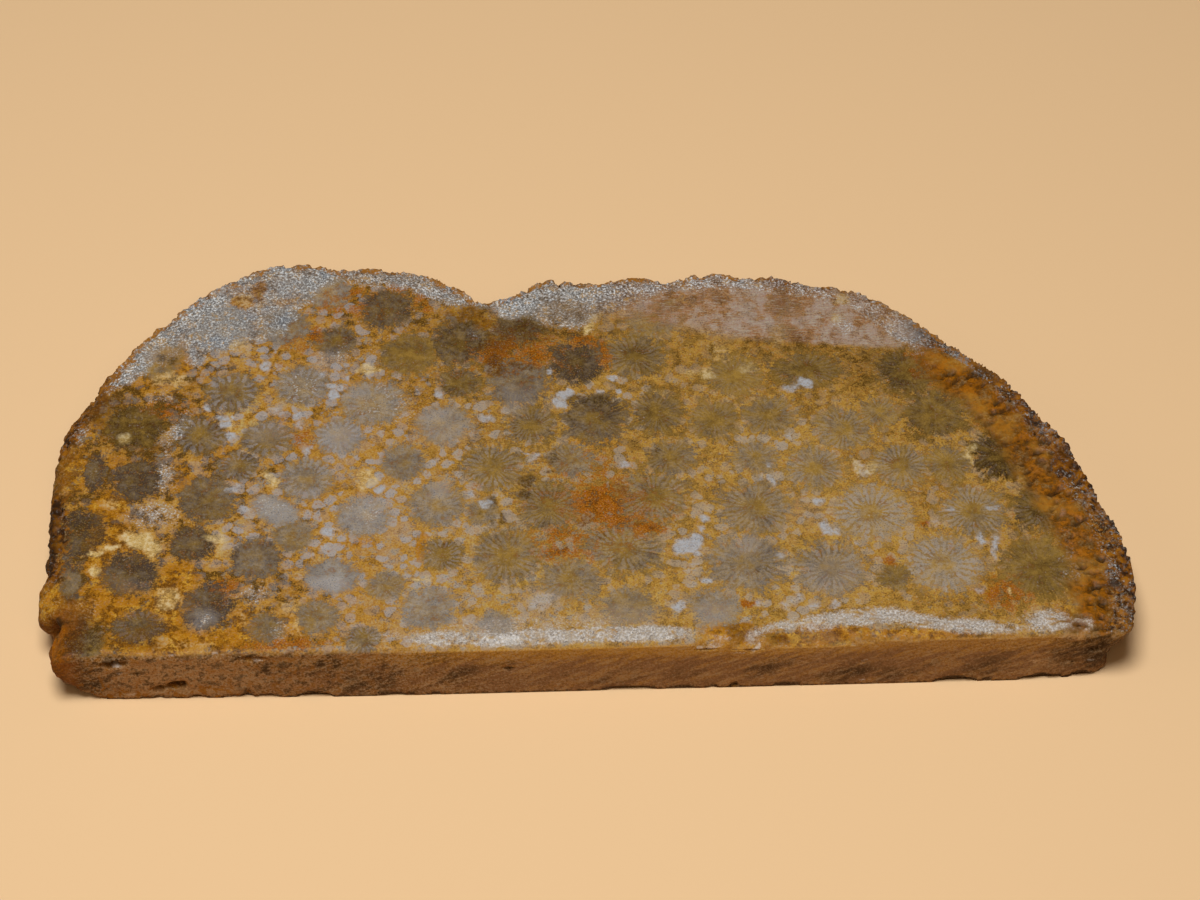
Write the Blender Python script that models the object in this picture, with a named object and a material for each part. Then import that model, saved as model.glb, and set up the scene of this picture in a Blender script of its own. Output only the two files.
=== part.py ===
# Fossil coral slab: one piece sawn from an agatized coral head. Two parallel saw cuts make the
# flat top and underside and a third makes the straight front edge. The rest of the rim is the
# head's own knobbly rind, which bulges below the rim on the left and is undercut on the right.
# X runs along the sawn front edge, Y from front to back, Z up, with Z = 0 on the underside.

import bmesh
import bpy
import numpy
from mathutils import Vector, noise

NODE = "fossil_coral_slab"
MM = 0.001

# Driving dimensions, in millimetres
LENGTH = 161.8  # over the rind, along the front edge
DEPTH = 81.3  # foot of the front edge to the back of the rind
THICKNESS = 10.0  # between the two parallel saw cuts
FRONT_Y = -40.0  # the top of the sawn front edge, in the frame that the rim's points use
FRONT_LEAN = 0.7  # how far that saw cut leans out at its foot, away from the two corners
SPACING = 1.55  # between neighbouring points around the rim

RIM_ROUND = 0.45  # height of the worn edge around the top face
RIM_INSET = 0.6  # and its width
FOOT_INSET = 1.1  # from the rim's foot in to the flat of the underside

ROUGH_BROAD = 0.75  # how far broad lumps of the rind stand in or out
ROUGH_FINE = 0.35  # and the fine ones on them
BROAD_PER_MM = 0.13
FINE_PER_MM = 0.42

WALL_HEIGHTS = (0.0, 0.7, 1.7, 3.0, 4.4, 5.8, 7.2, 8.5, THICKNESS - RIM_ROUND)

# The natural rim at the top face, from the front right corner round the back to the front left
# one. The curve through these points has the dents and lobes of the head's outside.
RIM = (
    (77.8, -40.0), (79.6, -37.5), (80.4, -32.0), (80.6, -26.0), (79.4, -20.0), (77.6, -14.0),
    (75.7, -7.5), (73.8, -1.0), (70.6, 3.6), (68.4, 7.6), (65.6, 11.8), (60.6, 16.8),
    (54.6, 23.2), (48.2, 28.6), (41.8, 32.0), (36.0, 32.8), (31.0, 34.6), (26.6, 34.4),
    (21.6, 35.8), (14.6, 34.0), (9.6, 35.1), (2.6, 34.1), (-5.0, 34.6), (-9.2, 32.6),
    (-15.4, 30.1), (-19.4, 33.1), (-25.0, 36.6), (-33.6, 38.7), (-38.4, 38.0), (-44.6, 40.2),
    (-50.8, 38.6), (-57.0, 35.0), (-62.2, 30.8), (-67.4, 25.0), (-72.4, 17.8), (-76.0, 10.6),
    (-78.6, 4.0), (-79.5, -2.0), (-79.6, -7.0), (-78.9, -12.0), (-78.4, -19.0), (-78.3, -24.0),
    (-79.0, -27.5), (-79.0, -30.5), (-77.8, -32.8), (-76.5, -34.6), (-76.7, -37.0), (-76.4, -40.0),
)

# How far the wall stands outside the top rim at each height, for each stretch of the rind
PROFILE_Z = (0.0, 0.4, 1.5, 3.0, 4.5, 6.0, 7.5, 9.0, 10.0)
LEFT_WALL = (-2.2, -1.6, -0.6, 0.4, 1.1, 1.5, 1.4, 0.7, 0.0)
LEFT_CORNER = (-7.4, -4.4, -2.4, -0.9, 0.7, 1.7, 1.9, 1.1, 0.0)
RIGHT_WALL = (-3.3, -3.4, -3.4, -3.2, -2.9, -2.2, -0.9, -0.1, 0.0)
BACK_WALL = (-1.8, -1.4, -0.5, 0.2, 0.6, 0.7, 0.5, 0.2, 0.0)

# Knobs of the rind: middle, reach, and how far each stands out
KNOBS = (
    ((-77.0, -36.8, 5.6), 2.6, 0.8),
    ((-79.6, -28.6, 7.6), 3.0, 0.4),
    ((-69.0, 23.0, 4.0), 4.5, 1.1),
    ((-52.0, 38.0, 5.5), 5.0, 0.9),
    ((-29.0, 37.5, 4.5), 4.0, 1.0),
    ((-15.5, 30.0, 4.0), 3.0, -1.6),
    ((8.0, 34.5, 3.5), 5.0, 1.0),
    ((40.0, 32.5, 5.0), 4.0, 0.9),
    ((63.0, 14.0, 3.5), 5.0, -1.2),
)

# Flakes broken off the foot of the sawn front edge: from x, to x, height
FOOT_CHIPS = (
    (-60.0, -55.5, 0.5), (-52.4, -49.2, 1.5), (-49.2, -44.5, 0.7), (-43.0, -37.5, 0.9),
    (-30.5, -25.5, 0.3), (2.0, 10.0, 0.4), (51.0, 58.0, 0.9), (62.0, 70.4, 0.8), (70.8, 74.0, 1.0),
)
FOOT_CHIP_REACH = 3.2  # how far up the front face the flakes reach

# One shell-shaped flake off the top of the front edge
TOP_CHIP = {"from_x": 25.5, "to_x": 38.5, "depth": 3.2, "lowest": 8.3}


def smooth_step(low, high, value):
    part = min(1.0, max(0.0, (value - low) / (high - low)))
    return part * part * (3.0 - 2.0 * part)


def arch(start, end, value):
    """A rounded hump of height 1 between start and end, and 0 outside them."""
    part = (value - start) / (end - start)
    return max(0.0, 4.0 * part * (1.0 - part)) ** 0.7 if 0.0 < part < 1.0 else 0.0


def curve_through(points, steps=24):
    """A Catmull-Rom curve through points, as many short runs."""
    ends = [points[0], *points, points[-1]]
    runs = []
    for before, start, end, after in zip(ends, ends[1:], ends[2:], ends[3:]):
        for step in range(steps):
            t = step / steps
            pull = (end - before) * t
            bend = (before * 2.0 - start * 5.0 + end * 4.0 - after) * t * t
            turn = (start * 3.0 - before - end * 3.0 + after) * t * t * t
            runs.append((start * 2.0 + pull + bend + turn) * 0.5)
    return [*runs, points[-1]]


def evenly_spaced(points, spacing):
    """Points along a run of points, all the same distance apart."""
    along = numpy.cumsum([0.0, *((b - a).length for a, b in zip(points, points[1:]))])
    places = numpy.linspace(0.0, along[-1], round(along[-1] / spacing) + 1)
    across = numpy.interp(places, along, [point.x for point in points])
    back = numpy.interp(places, along, [point.y for point in points])
    return [Vector((x, y)) for x, y in zip(across, back)]


def outward(points, index):
    """The way out of the slab at a rim point, along X alone where the rim meets the front."""
    before = points[max(0, index - 2)]
    after = points[min(len(points) - 1, index + 2)]
    run = (after - before).normalized()
    from_front = smooth_step(1.0, 6.0, points[index].y - FRONT_Y)
    return Vector((run.y, -run.x * from_front)).normalized()


def wall_offset(spot, height):
    """How far the rind stands outside the top rim, at a rim point and a height."""
    right = smooth_step(54.0, 74.0, spot.x)
    left = smooth_step(48.0, 74.0, -spot.x)
    corner = left * smooth_step(29.0, 37.0, -spot.y)
    shares = (
        (LEFT_WALL, left - corner),
        (LEFT_CORNER, corner),
        (RIGHT_WALL, right),
        (BACK_WALL, 1.0 - left - right),
    )
    return sum(numpy.interp(height, PROFILE_Z, wall) * share for wall, share in shares)


def roughness(place):
    """Lumps of the rind, fading towards the rim of the top face."""
    broad = noise.noise(place * BROAD_PER_MM) * ROUGH_BROAD
    fine = noise.noise(place * FINE_PER_MM) * ROUGH_FINE
    return (broad + fine) * (1.0 - 0.7 * smooth_step(6.0, THICKNESS, place.z))


def knobs(place):
    total = 0.0
    for middle, reach, height in KNOBS:
        apart = (place - Vector(middle)).length / reach
        total += height * smooth_step(1.0, 0.0, apart)
    return total


def rind_point(rim, index, height):
    spot = rim[index]
    place = Vector((spot.x, spot.y, height))
    stand = wall_offset(spot, height) + roughness(place) + knobs(place)
    moved = spot + outward(rim, index) * stand
    return Vector((moved.x, max(FRONT_Y, moved.y), height))


def front_point(start, end, part, height):
    """A point of the sawn front face, with the flakes off its foot and its top edge."""
    x = start.x + (end.x - start.x) * part
    lift = sum(tall * arch(from_x, to_x, x) for from_x, to_x, tall in FOOT_CHIPS)
    lifted = height + lift * max(0.0, 1.0 - height / FOOT_CHIP_REACH)
    flake = arch(TOP_CHIP["from_x"], TOP_CHIP["to_x"], x)
    back = flake * TOP_CHIP["depth"] * smooth_step(TOP_CHIP["lowest"], THICKNESS, height)
    from_corners = smooth_step(-78.0, -25.0, x) * smooth_step(80.0, 62.0, x)
    lean = FRONT_LEAN * from_corners * (1.0 - height / THICKNESS)
    return Vector((x, FRONT_Y + back - lean, lifted))


def ring(rim, front_count, height):
    """The whole outline at one height: the rind first, then the front edge back to its start."""
    rind = [rind_point(rim, index, height) for index in range(len(rim))]
    front = [
        front_point(rind[-1], rind[0], (index + 1) / (front_count + 1), height)
        for index in range(front_count)
    ]
    return rind + front


def flatten_cap(shape, cap, inset, height):
    """A border around a sawn face, and the flat inside it."""
    bmesh.ops.inset_region(shape, faces=[cap], thickness=inset, use_even_offset=False)
    for corner in cap.verts:
        corner.co.z = height


def stone_mesh():
    rim = evenly_spaced(curve_through([Vector(point) for point in RIM]), SPACING)
    front_count = round((rim[0].x - rim[-1].x) / SPACING)

    shape = bmesh.new()
    number = shape.verts.layers.int.new("number")
    corners = [shape.verts.new(place) for place in ring(rim, front_count, WALL_HEIGHTS[0])]
    for index, corner in enumerate(corners):
        corner[number] = index
    edges = [shape.edges.new((corner, corners[index - 1])) for index, corner in enumerate(corners)]

    for height in WALL_HEIGHTS[1:]:
        made = bmesh.ops.extrude_edge_only(shape, edges=edges)["geom"]
        edges = [part for part in made if isinstance(part, bmesh.types.BMEdge)]
        places = ring(rim, front_count, height)
        for corner in (part for part in made if isinstance(part, bmesh.types.BMVert)):
            corner.co = places[corner[number]]

    bmesh.ops.holes_fill(shape, edges=shape.edges, sides=0)
    bmesh.ops.recalc_face_normals(shape, faces=shape.faces)
    foot, cap = sorted(shape.faces, key=lambda face: len(face.verts))[-2:]
    if foot.calc_center_median().z > cap.calc_center_median().z:
        foot, cap = cap, foot
    flatten_cap(shape, cap, RIM_INSET, THICKNESS)
    flatten_cap(shape, foot, FOOT_INSET, 0.0)

    fit_to_size(shape)
    bmesh.ops.recalc_face_normals(shape, faces=shape.faces)
    bmesh.ops.triangulate(shape, faces=shape.faces)
    mesh = bpy.data.meshes.new(NODE)
    shape.to_mesh(mesh)
    shape.free()
    return mesh


def fit_to_size(shape):
    """Centre the stone over the origin, bring it to its driving dimensions, and turn it to metres."""
    places = numpy.array([corner.co for corner in shape.verts])
    low, high = places.min(axis=0), places.max(axis=0)
    size = numpy.array((LENGTH, DEPTH, THICKNESS))
    middle = numpy.array(((low[0] + high[0]) / 2.0, (low[1] + high[1]) / 2.0, low[2]))
    for corner, place in zip(shape.verts, (places - middle) * size / (high - low) * MM):
        corner.co = place


def coral_material():
    material = bpy.data.materials.new("agatized coral")
    material.use_nodes = True
    shader = material.node_tree.nodes["Principled BSDF"]
    shader.inputs["Base Color"].default_value = (0.21, 0.13, 0.05, 1.0)
    shader.inputs["Roughness"].default_value = 0.35
    shader.inputs["Metallic"].default_value = 0.0
    return material


def main():
    for old in list(bpy.data.objects):
        bpy.data.objects.remove(old, do_unlink=True)
    mesh = stone_mesh()
    mesh.materials.append(coral_material())
    mesh.shade_smooth()
    mesh.set_sharp_from_angle(angle=numpy.radians(35.0))
    slab = bpy.data.objects.new(NODE, mesh)
    bpy.context.scene.collection.objects.link(slab)


main()
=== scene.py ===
import math

import bmesh
import bpy
import numpy as np
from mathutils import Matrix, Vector, kdtree, noise


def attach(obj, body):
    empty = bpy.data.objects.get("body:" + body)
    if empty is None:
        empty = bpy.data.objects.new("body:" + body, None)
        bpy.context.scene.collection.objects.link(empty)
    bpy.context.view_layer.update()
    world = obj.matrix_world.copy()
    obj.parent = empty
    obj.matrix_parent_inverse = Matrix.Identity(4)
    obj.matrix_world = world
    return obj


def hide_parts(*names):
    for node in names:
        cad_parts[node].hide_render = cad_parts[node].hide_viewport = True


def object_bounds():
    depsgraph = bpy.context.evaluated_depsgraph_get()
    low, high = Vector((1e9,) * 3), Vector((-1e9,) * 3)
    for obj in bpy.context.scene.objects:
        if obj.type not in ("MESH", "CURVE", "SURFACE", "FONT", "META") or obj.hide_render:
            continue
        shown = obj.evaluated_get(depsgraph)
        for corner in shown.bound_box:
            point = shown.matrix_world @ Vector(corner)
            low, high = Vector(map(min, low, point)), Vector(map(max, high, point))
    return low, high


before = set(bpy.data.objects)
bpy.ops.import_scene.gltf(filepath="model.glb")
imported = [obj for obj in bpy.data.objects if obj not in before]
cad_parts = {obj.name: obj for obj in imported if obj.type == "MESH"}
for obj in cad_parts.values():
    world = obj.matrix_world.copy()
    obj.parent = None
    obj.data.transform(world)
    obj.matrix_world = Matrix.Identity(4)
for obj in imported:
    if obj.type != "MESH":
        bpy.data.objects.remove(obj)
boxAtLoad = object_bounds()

mm = 0.001


def addNode(tree, kind, inputs=None, **settings):
    # one node with its settings; an input takes a plain value or another node's output
    made = tree.nodes.new(kind)
    for name, value in settings.items():
        setattr(made, name, value)
    for name, value in (inputs or {}).items():
        if isinstance(value, bpy.types.NodeSocket):
            tree.links.new(value, made.inputs[name])
        else:
            made.inputs[name].default_value = value
    return made


def colour(hexText):
    # sRGB hex to linear
    parts = [int(hexText[i:i + 2], 16) / 255 for i in (1, 3, 5)]
    return tuple(p / 12.92 if p <= 0.04045 else ((p + 0.055) / 1.055) ** 2.4 for p in parts) + (1.0,)


def ease(low, high, value):
    # 0 at low and 1 at high, with soft ends
    part = np.clip((value - low) / (high - low), 0, 1)
    return part * part * (3 - 2 * part)


def grain(spots, perMm, shift=0.0, stretch=(1, 1, 1)):
    # soft noise from about -1 to 1 at each spot, in lumps of about 1 / perMm millimetres
    scaled = spots * np.array(stretch) * perMm + shift
    return np.array([noise.noise(Vector(spot)) for spot in scaled])


# camera, light and floor

view = {
    "lookAt": (3.0, 7.05, 0.0),  # mm
    "distance": 474.0,  # mm
    "azimuth": -1.8,  # degrees, from straight in front
    "elevation": 48.0,  # degrees, above the floor
    "lens": 90.0,  # mm
    "sensor": 36.0,  # mm
    "clip": 0.01,  # metres
}


def makeCamera():
    turn, rise = math.radians(view["azimuth"]), math.radians(view["elevation"])
    back = Vector((math.sin(turn) * math.cos(rise), -math.cos(turn) * math.cos(rise), math.sin(rise)))
    data = bpy.data.cameras.new("camera")
    data.lens = view["lens"]
    data.sensor_width = view["sensor"]
    data.clip_start = view["clip"]
    camera = bpy.data.objects.new("camera", data)
    camera.location = Vector(view["lookAt"]) * mm + back * view["distance"] * mm
    camera.rotation_euler = back.to_track_quat("Z", "Y").to_euler()
    bpy.context.scene.collection.objects.link(camera)
    bpy.context.scene.camera = camera


studio = {
    "floorColour": "#e2be92",
    "floorSize": 3.0,  # metres
    "floorRoughness": 0.9,
    "floorGloss": 0.2,
    "lights": (
        # name, place and aim in metres, size in metres, watts, colour
        ("key", (-0.065, -0.12, 0.7), (-0.03, -0.05, 0), 0.3, 4.85, "#fdffff"),
        ("fill", (0.1, -0.5, 0.72), (0, 0, 0), 0.5, 0.9, "#ffe6c2"),
        ("side", (-0.8, -0.1, 0.5), (0, 0, 0), 0.5, 0.5, "#fff0d6"),
    ),
    "sky": 0.04,
    "skyColour": (1.0, 0.55, 0.2, 1.0),  # linear: light that has bounced off warm card
}


def makeFloor():
    shape = bmesh.new()
    bmesh.ops.create_grid(shape, x_segments=1, y_segments=1, size=studio["floorSize"] / 2)
    data = bpy.data.meshes.new("floor")
    shape.to_mesh(data)
    shape.free()
    piece = bpy.data.objects.new("floor", data)
    bpy.context.scene.collection.objects.link(piece)
    # uncoated paper card is dead matt and even
    card = bpy.data.materials.new("matt studio card")
    card.use_nodes = True
    shader = card.node_tree.nodes["Principled BSDF"]
    shader.inputs["Base Color"].default_value = colour(studio["floorColour"])
    shader.inputs["Roughness"].default_value = studio["floorRoughness"]
    shader.inputs["Specular IOR Level"].default_value = studio["floorGloss"]
    data.materials.append(card)


def makeLights():
    for name, place, aim, size, watts, tone in studio["lights"]:
        lamp = bpy.data.lights.new(name, "AREA")
        lamp.shape = "DISK"
        lamp.size = size
        lamp.energy = watts
        lamp.color = colour(tone)[:3]
        holder = bpy.data.objects.new(name, lamp)
        holder.location = place
        holder.rotation_euler = (Vector(place) - Vector(aim)).to_track_quat("Z", "Y").to_euler()
        bpy.context.scene.collection.objects.link(holder)
    world = bpy.data.worlds.new("studio")
    world.use_nodes = True
    world.node_tree.nodes["Background"].inputs["Color"].default_value = studio["skyColour"]
    world.node_tree.nodes["Background"].inputs["Strength"].default_value = studio["sky"]
    bpy.context.scene.world = world
    bpy.context.scene.view_settings.view_transform = "Standard"


makeCamera()
makeFloor()
makeLights()
print("camera and studio made")

# the stone's shape; every place on it is in mm from stone["middle"], with the underside at 0

stone = {
    "voxel": 0.43,  # mm, the fine mesh's step
    "middle": (0.18, 0.03),  # mm, where the marks' zero lies in the frame
    "thick": 10,  # mm, the height of the top face
    "frontY": -40,  # mm, the sawn front at its top
    "frontLean": 0.7,  # mm that the sawn front leans out at its foot
    "cornerX": 75,  # mm, past which the front corners belong to the natural rim
    "lean": (0.22, 0.16),  # how far the coral's columns lean along x and y for each mm down
    "underKeep": 0.05,  # share of the underside's triangles that stay
}
rindLumps = (
    # mm high, lumps per mm, where in the noise, and how it is stretched: broad, middling and fine ones
    (0.34, 0.95, 9.0, (1, 1, 0.4)), (0.22, 1.9, 2.0, (1, 1, 1)), (0.13, 3.4, 7.0, (1, 1, 1)),
)
frontHollows = (
    # x, z, half width, half height, depth in mm
    (-69.3, 8.3, 2.2, 0.9, 1.6), (-60.9, 2.9, 1.6, 0.8, 1.8), (-63.4, 2.3, 1.2, 0.6, 1.1),
    (-59.8, 3.5, 0.8, 0.5, 1.2), (-49.2, 8.8, 1.9, 0.45, 0.7), (-12, 5.3, 0.9, 0.4, 0.7),
    (21.2, 0.7, 0.9, 0.5, 0.5), (65.5, 4.5, 0.9, 0.5, 0.35), (70, 3.6, 1.5, 0.7, 0.5),
    (74, 6, 1.2, 0.6, 0.6), (40, 4.9, 0.8, 0.25, 0.25), (16.8, 9, 2, 0.3, 0.4), (23.5, 8.4, 1.4, 0.8, 0.5),
    (-66.5, 5.9, 1.4, 0.3, 0.35),
)
footFlakes = (
    # from x, to x, height in mm: small flakes off the front edge's foot
    (-66.5, -61, 0.4), (-59.2, -56.6, 0.8), (-54, -51.2, 0.6), (-51.3, -49.6, 1.6), (-49.9, -45.5, 0.7),
    (-43.2, -37.8, 1.1), (-31.6, -26, 0.6), (-23.4, -22, 0.3), (1.6, 9.6, 0.9), (11, 15.6, 0.3),
    (17.2, 18.6, 0.6), (26.6, 31, 0.4), (50.4, 57, 1.1), (57.8, 59.4, 0.3), (63, 69.6, 1),
    (70.8, 74.2, 1.2),
)
edgeFlakes = (
    # from x, to x, depth back, drop in mm: flakes off the front edge's top
    (-72, -67.5, 0.9, 0.6), (-56, -53.2, 0.5, 0.4), (-44.5, -42, 0.5, 0.3), (-28, -25.6, 0.5, 0.3),
    (15.2, 19.8, 1.4, 0.7), (20.4, 25.2, 1.8, 1), (38.2, 42, 1, 0.5), (46, 48.5, 0.8, 0.4),
    (59, 62, 0.8, 0.4), (70.5, 73, 0.8, 0.5), (76, 78, 0.8, 0.6),
)
frontBevel = (
    # x, width back and drop at the edge in mm: the ground slope along the front edge's top
    (-82, 0.6, 0.1), (-48, 0.8, 0.12), (-30, 1.2, 0.14), (-26, 2.8, 0.22), (-16, 3.2, 0.3), (4, 3.2, 0.28),
    (13, 3, 0.25), (16, 1, 0.15), (27, 1, 0.15), (30, 4, 0.28), (45, 4, 0.28), (52, 3, 0.22),
    (62, 2.6, 0.22), (65, 3.6, 0.3), (74, 3.6, 0.3), (80, 1.5, 0.25),
)
pinholes = (
    # x, y, half width in mm
    (-43.2, 13.3, 0.35), (-67.6, -28.1, 0.3), (0.1, -22.7, 0.25), (1.2, -32.8, 0.2), (-47.6, -3.4, 0.25),
    (-10, -0.7, 0.15), (9.3, -31.2, 0.2), (9.5, -31.8, 0.2), (22.3, -16.6, 0.25), (-0.3, 14.6, 0.2),
)


def applyModifiers(piece):
    seen = piece.evaluated_get(bpy.context.evaluated_depsgraph_get())
    made = bpy.data.meshes.new_from_object(seen)
    piece.modifiers.clear()
    piece.data = made
    made.shade_smooth()


def stoneMesh():
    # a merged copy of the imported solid, remeshed finely enough to carry the rind
    shape = bmesh.new()
    shape.from_mesh(bpy.data.objects["fossil_coral_slab"].data)
    bmesh.ops.remove_doubles(shape, verts=shape.verts, dist=1e-6)
    data = bpy.data.meshes.new("coralSlab")
    shape.to_mesh(data)
    shape.free()
    piece = bpy.data.objects.new("coralSlab", data)
    bpy.context.scene.collection.objects.link(piece)
    fine = piece.modifiers.new("fine", "REMESH")
    fine.mode = "VOXEL"
    fine.voxel_size = stone["voxel"] * mm
    applyModifiers(piece)
    return piece


def spotsOf(mesh):
    # each point's place in mm, and its normal
    count = len(mesh.vertices)
    places, normals = np.empty(count * 3), np.empty(count * 3)
    mesh.vertices.foreach_get("co", places)
    mesh.vertices.foreach_get("normal", normals)
    places = places.reshape(-1, 3) / mm
    places[:, :2] -= stone["middle"]
    return places, normals.reshape(-1, 3)


def putSpots(mesh, places):
    # the moved points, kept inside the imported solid's box
    moved = places.copy()
    moved[:, :2] += stone["middle"]
    moved *= mm
    mesh.vertices.foreach_set("co", np.clip(moved, boxAtLoad[0], boxAtLoad[1]).ravel())
    mesh.update()


def nearest(spots, others):
    # flat distance from each spot to the closest of the others, in mm
    tree = kdtree.KDTree(len(others))
    for index, other in enumerate(others):
        tree.insert((other[0], other[1], 0.0), index)
    tree.balance()
    return np.array([tree.find((spot[0], spot[1], 0.0))[2] for spot in spots])


def zonesOf(places, normals):
    # how much each point belongs to the top face, the underside, the sawn front and the rind
    top = ease(0.45, 0.8, normals[:, 2]) * ease(7.0, 8.5, places[:, 2])
    under = ease(0.45, 0.8, -normals[:, 2]) * ease(2.5, 1.0, places[:, 2])
    front = ease(0.45, 0.8, -normals[:, 1]) * ease(-35.5, -37.0, places[:, 1]) * (1 - top) * (1 - under)
    front *= ease(-78.5, -75.5, places[:, 0])
    return top, under, front, np.clip(1 - top - under - front, 0, 1)


def inFromRim(places, rind, lowest, highest):
    # mm in from the natural rim, as it lies between two heights
    x, y, z = places.T
    natural = (y > stone["frontY"] + 3) | (abs(x) > stone["cornerX"])
    return nearest(places, places[(rind > 0.5) & (z > lowest) & (z < highest) & natural])


def hump(start, end, value):
    # a flake's outline: 0 at both ends, 1 in the middle
    part = np.clip((value - start) / (end - start), 0, 1)
    return (4 * part * (1 - part)) ** 0.6


def notchAt(x, z):
    # 0 to 1, the small flakes off the foot of the sawn front
    total = np.zeros(len(x))
    for start, end, tall in footFlakes:
        edge = tall * hump(start, end, x)
        total = np.maximum(total, ease(edge + 0.2, edge - 0.15, z) * (edge > 0.1))
    return total


def rindOut(places):
    # how far the rind stands out in mm: lumps, pits and the cleft between the two smooth front left knobs
    x, y = places.T[:2]
    smooth = np.exp(-((x + 79) ** 2 + (y + 28.5) ** 2) / 14) + np.exp(-((x + 77) ** 2 + (y + 37) ** 2) / 14)
    coarse = 1 - 0.75 * np.clip(smooth, 0, 1)
    out = 0.3 + 0.35 * grain(places, 0.33, 4.0)
    for tall, perMm, shift, stretch in rindLumps:
        out += tall * coarse * grain(places, perMm, shift, stretch)
    out -= 0.9 * coarse * ease(0.22, 0.6, grain(places, 0.8, 31.0))
    out += 0.7 * ease(-6, -12, y) * ease(-31, -27, y) * ease(-74, -77, x) + 0.35 * ease(26, 32, y)
    out -= 3.4 * np.exp(-((y + 33.2) / 1.0) ** 2) * ease(-72, -75, x)
    return out


def frontBack(places):
    # how far the sawn front lies back in mm: nearly flat, with hollows, broken up at both ends
    x, y, z = places.T
    ragged = np.clip(ease(63, 70, x) + ease(-47, -55, x) * ease(5.5, 2.0, z) + 0.3 * ease(-30, -45, x), 0, 1)
    back = 0.03 * grain(places, 1.2, 3.0)
    back += ragged * (0.3 * grain(places, 0.7, 5.0) + 0.25 * grain(places, 1.7, 8.0))
    back = np.maximum(back, -0.02)
    for holeX, holeZ, wide, tall, deep in frontHollows:
        near = (abs(x - holeX) < 2 * wide) & (y < stone["frontY"] + 4)
        apart = np.sqrt(((x - holeX) / wide) ** 2 + ((z - holeZ) / tall) ** 2)
        apart[near] += 0.3 * grain(places[near], 1.3, holeX)
        back += deep * ease(1.15, 0.35, apart) * near
    return back


def frontDrop(places):
    # how far the top falls away along the front edge in mm: a ground slope, and flakes off it
    x, y, z = places.T
    fromFront = y - stone["frontY"]
    spans, widths, drops = zip(*frontBevel)
    width = np.interp(x, spans, widths) * (1 + 0.3 * grain(places, 0.35, 6.0, (1, 0, 0)))
    slope = np.interp(x, spans, drops) * np.clip(1 - fromFront / width, 0, 1) ** 1.15
    for start, end, deep, fall in edgeFlakes:
        edge = deep * hump(start, end, x)
        slope += fall * ease(edge + 0.05, edge * 0.3, fromFront) * (edge > 0.1)
    return ease(8.0, 9.5, z) * slope


def topDrop(places, fromRim):
    # how far the rest of the top is worn down in mm: chips, vugs, pits, dry stretches and pinholes
    x, y = places.T[:2]
    chips = ease(0.1, 0.55, grain(places, 0.9, 12.0, (1, 1, 0.2))) * ease(1.6, 0.0, fromRim)
    drop = ease(-39.2, -37.5, y) * (0.55 * chips + 0.25 * ease(1.0, 0.0, fromRim))
    drop += openRim(x, fromRim) * vugAt(places) * 0.65
    drop += ease(5.0, 1.0, fromRim) * (x < 20) * 0.22 * ease(0.15, 0.5, grain(places, 1.4, 50.0))
    drop += 0.05 * (1 + grain(places, 2.2, 60.0)) * frostAt(x, y)
    for pitX, pitY, wide in pinholes:
        drop += 0.5 * ease(wide + 0.25, 0.1, np.hypot(x - pitX, y - pitY))
    return drop


def thinUnderside(piece, flat):
    # the underside is flat, so it needs fewer triangles than the rest
    spare = piece.vertex_groups.new(name="spare")
    for index in np.flatnonzero(flat):
        spare.add([int(index)], 1.0, "REPLACE")
    fewer = piece.modifiers.new("fewer", "DECIMATE")
    fewer.vertex_group = "spare"
    fewer.ratio = 1 - float(flat.mean()) * (1 - stone["underKeep"])
    applyModifiers(piece)
    piece.vertex_groups.clear()


def shapeStone(piece):
    places, normals = spotsOf(piece.data)
    top, under, front, rind = zonesOf(places, normals)
    x, y, z = places.T
    move = normals * (rind * rindOut(places))[:, None]
    move[:, 1] += front * frontBack(places)

    # the foot of the sawn front: a little of it taken back off the floor, then its flakes
    leaning = stone["frontLean"] * ease(-78, -25, x) * ease(80, 62, x) * (1 - z / stone["thick"])
    ahead = y - stone["frontY"] + leaning  # mm back from the saw cut
    foot = ease(1.0, 0.35, z) * ease(1.5, 0.7, ahead) * (abs(x) < 74)
    move[:, 2] -= foot * z
    move[:, 1] -= foot * 0.8 * np.clip(ahead, 0, 1)
    move[:, 1] += 0.4 * notchAt(x, z) * ease(2.0, 1.0, ahead)

    move[:, 2] -= frontDrop(places) + top * topDrop(places, inFromRim(places, rind, 6, stone["thick"] + 1))
    putSpots(piece.data, places + move)
    flat = under * (nearest(places, places[rind + front > 0.5]) > 1.0)
    thinUnderside(piece, flat > 0.9)


# where the coral's marks lie

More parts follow.
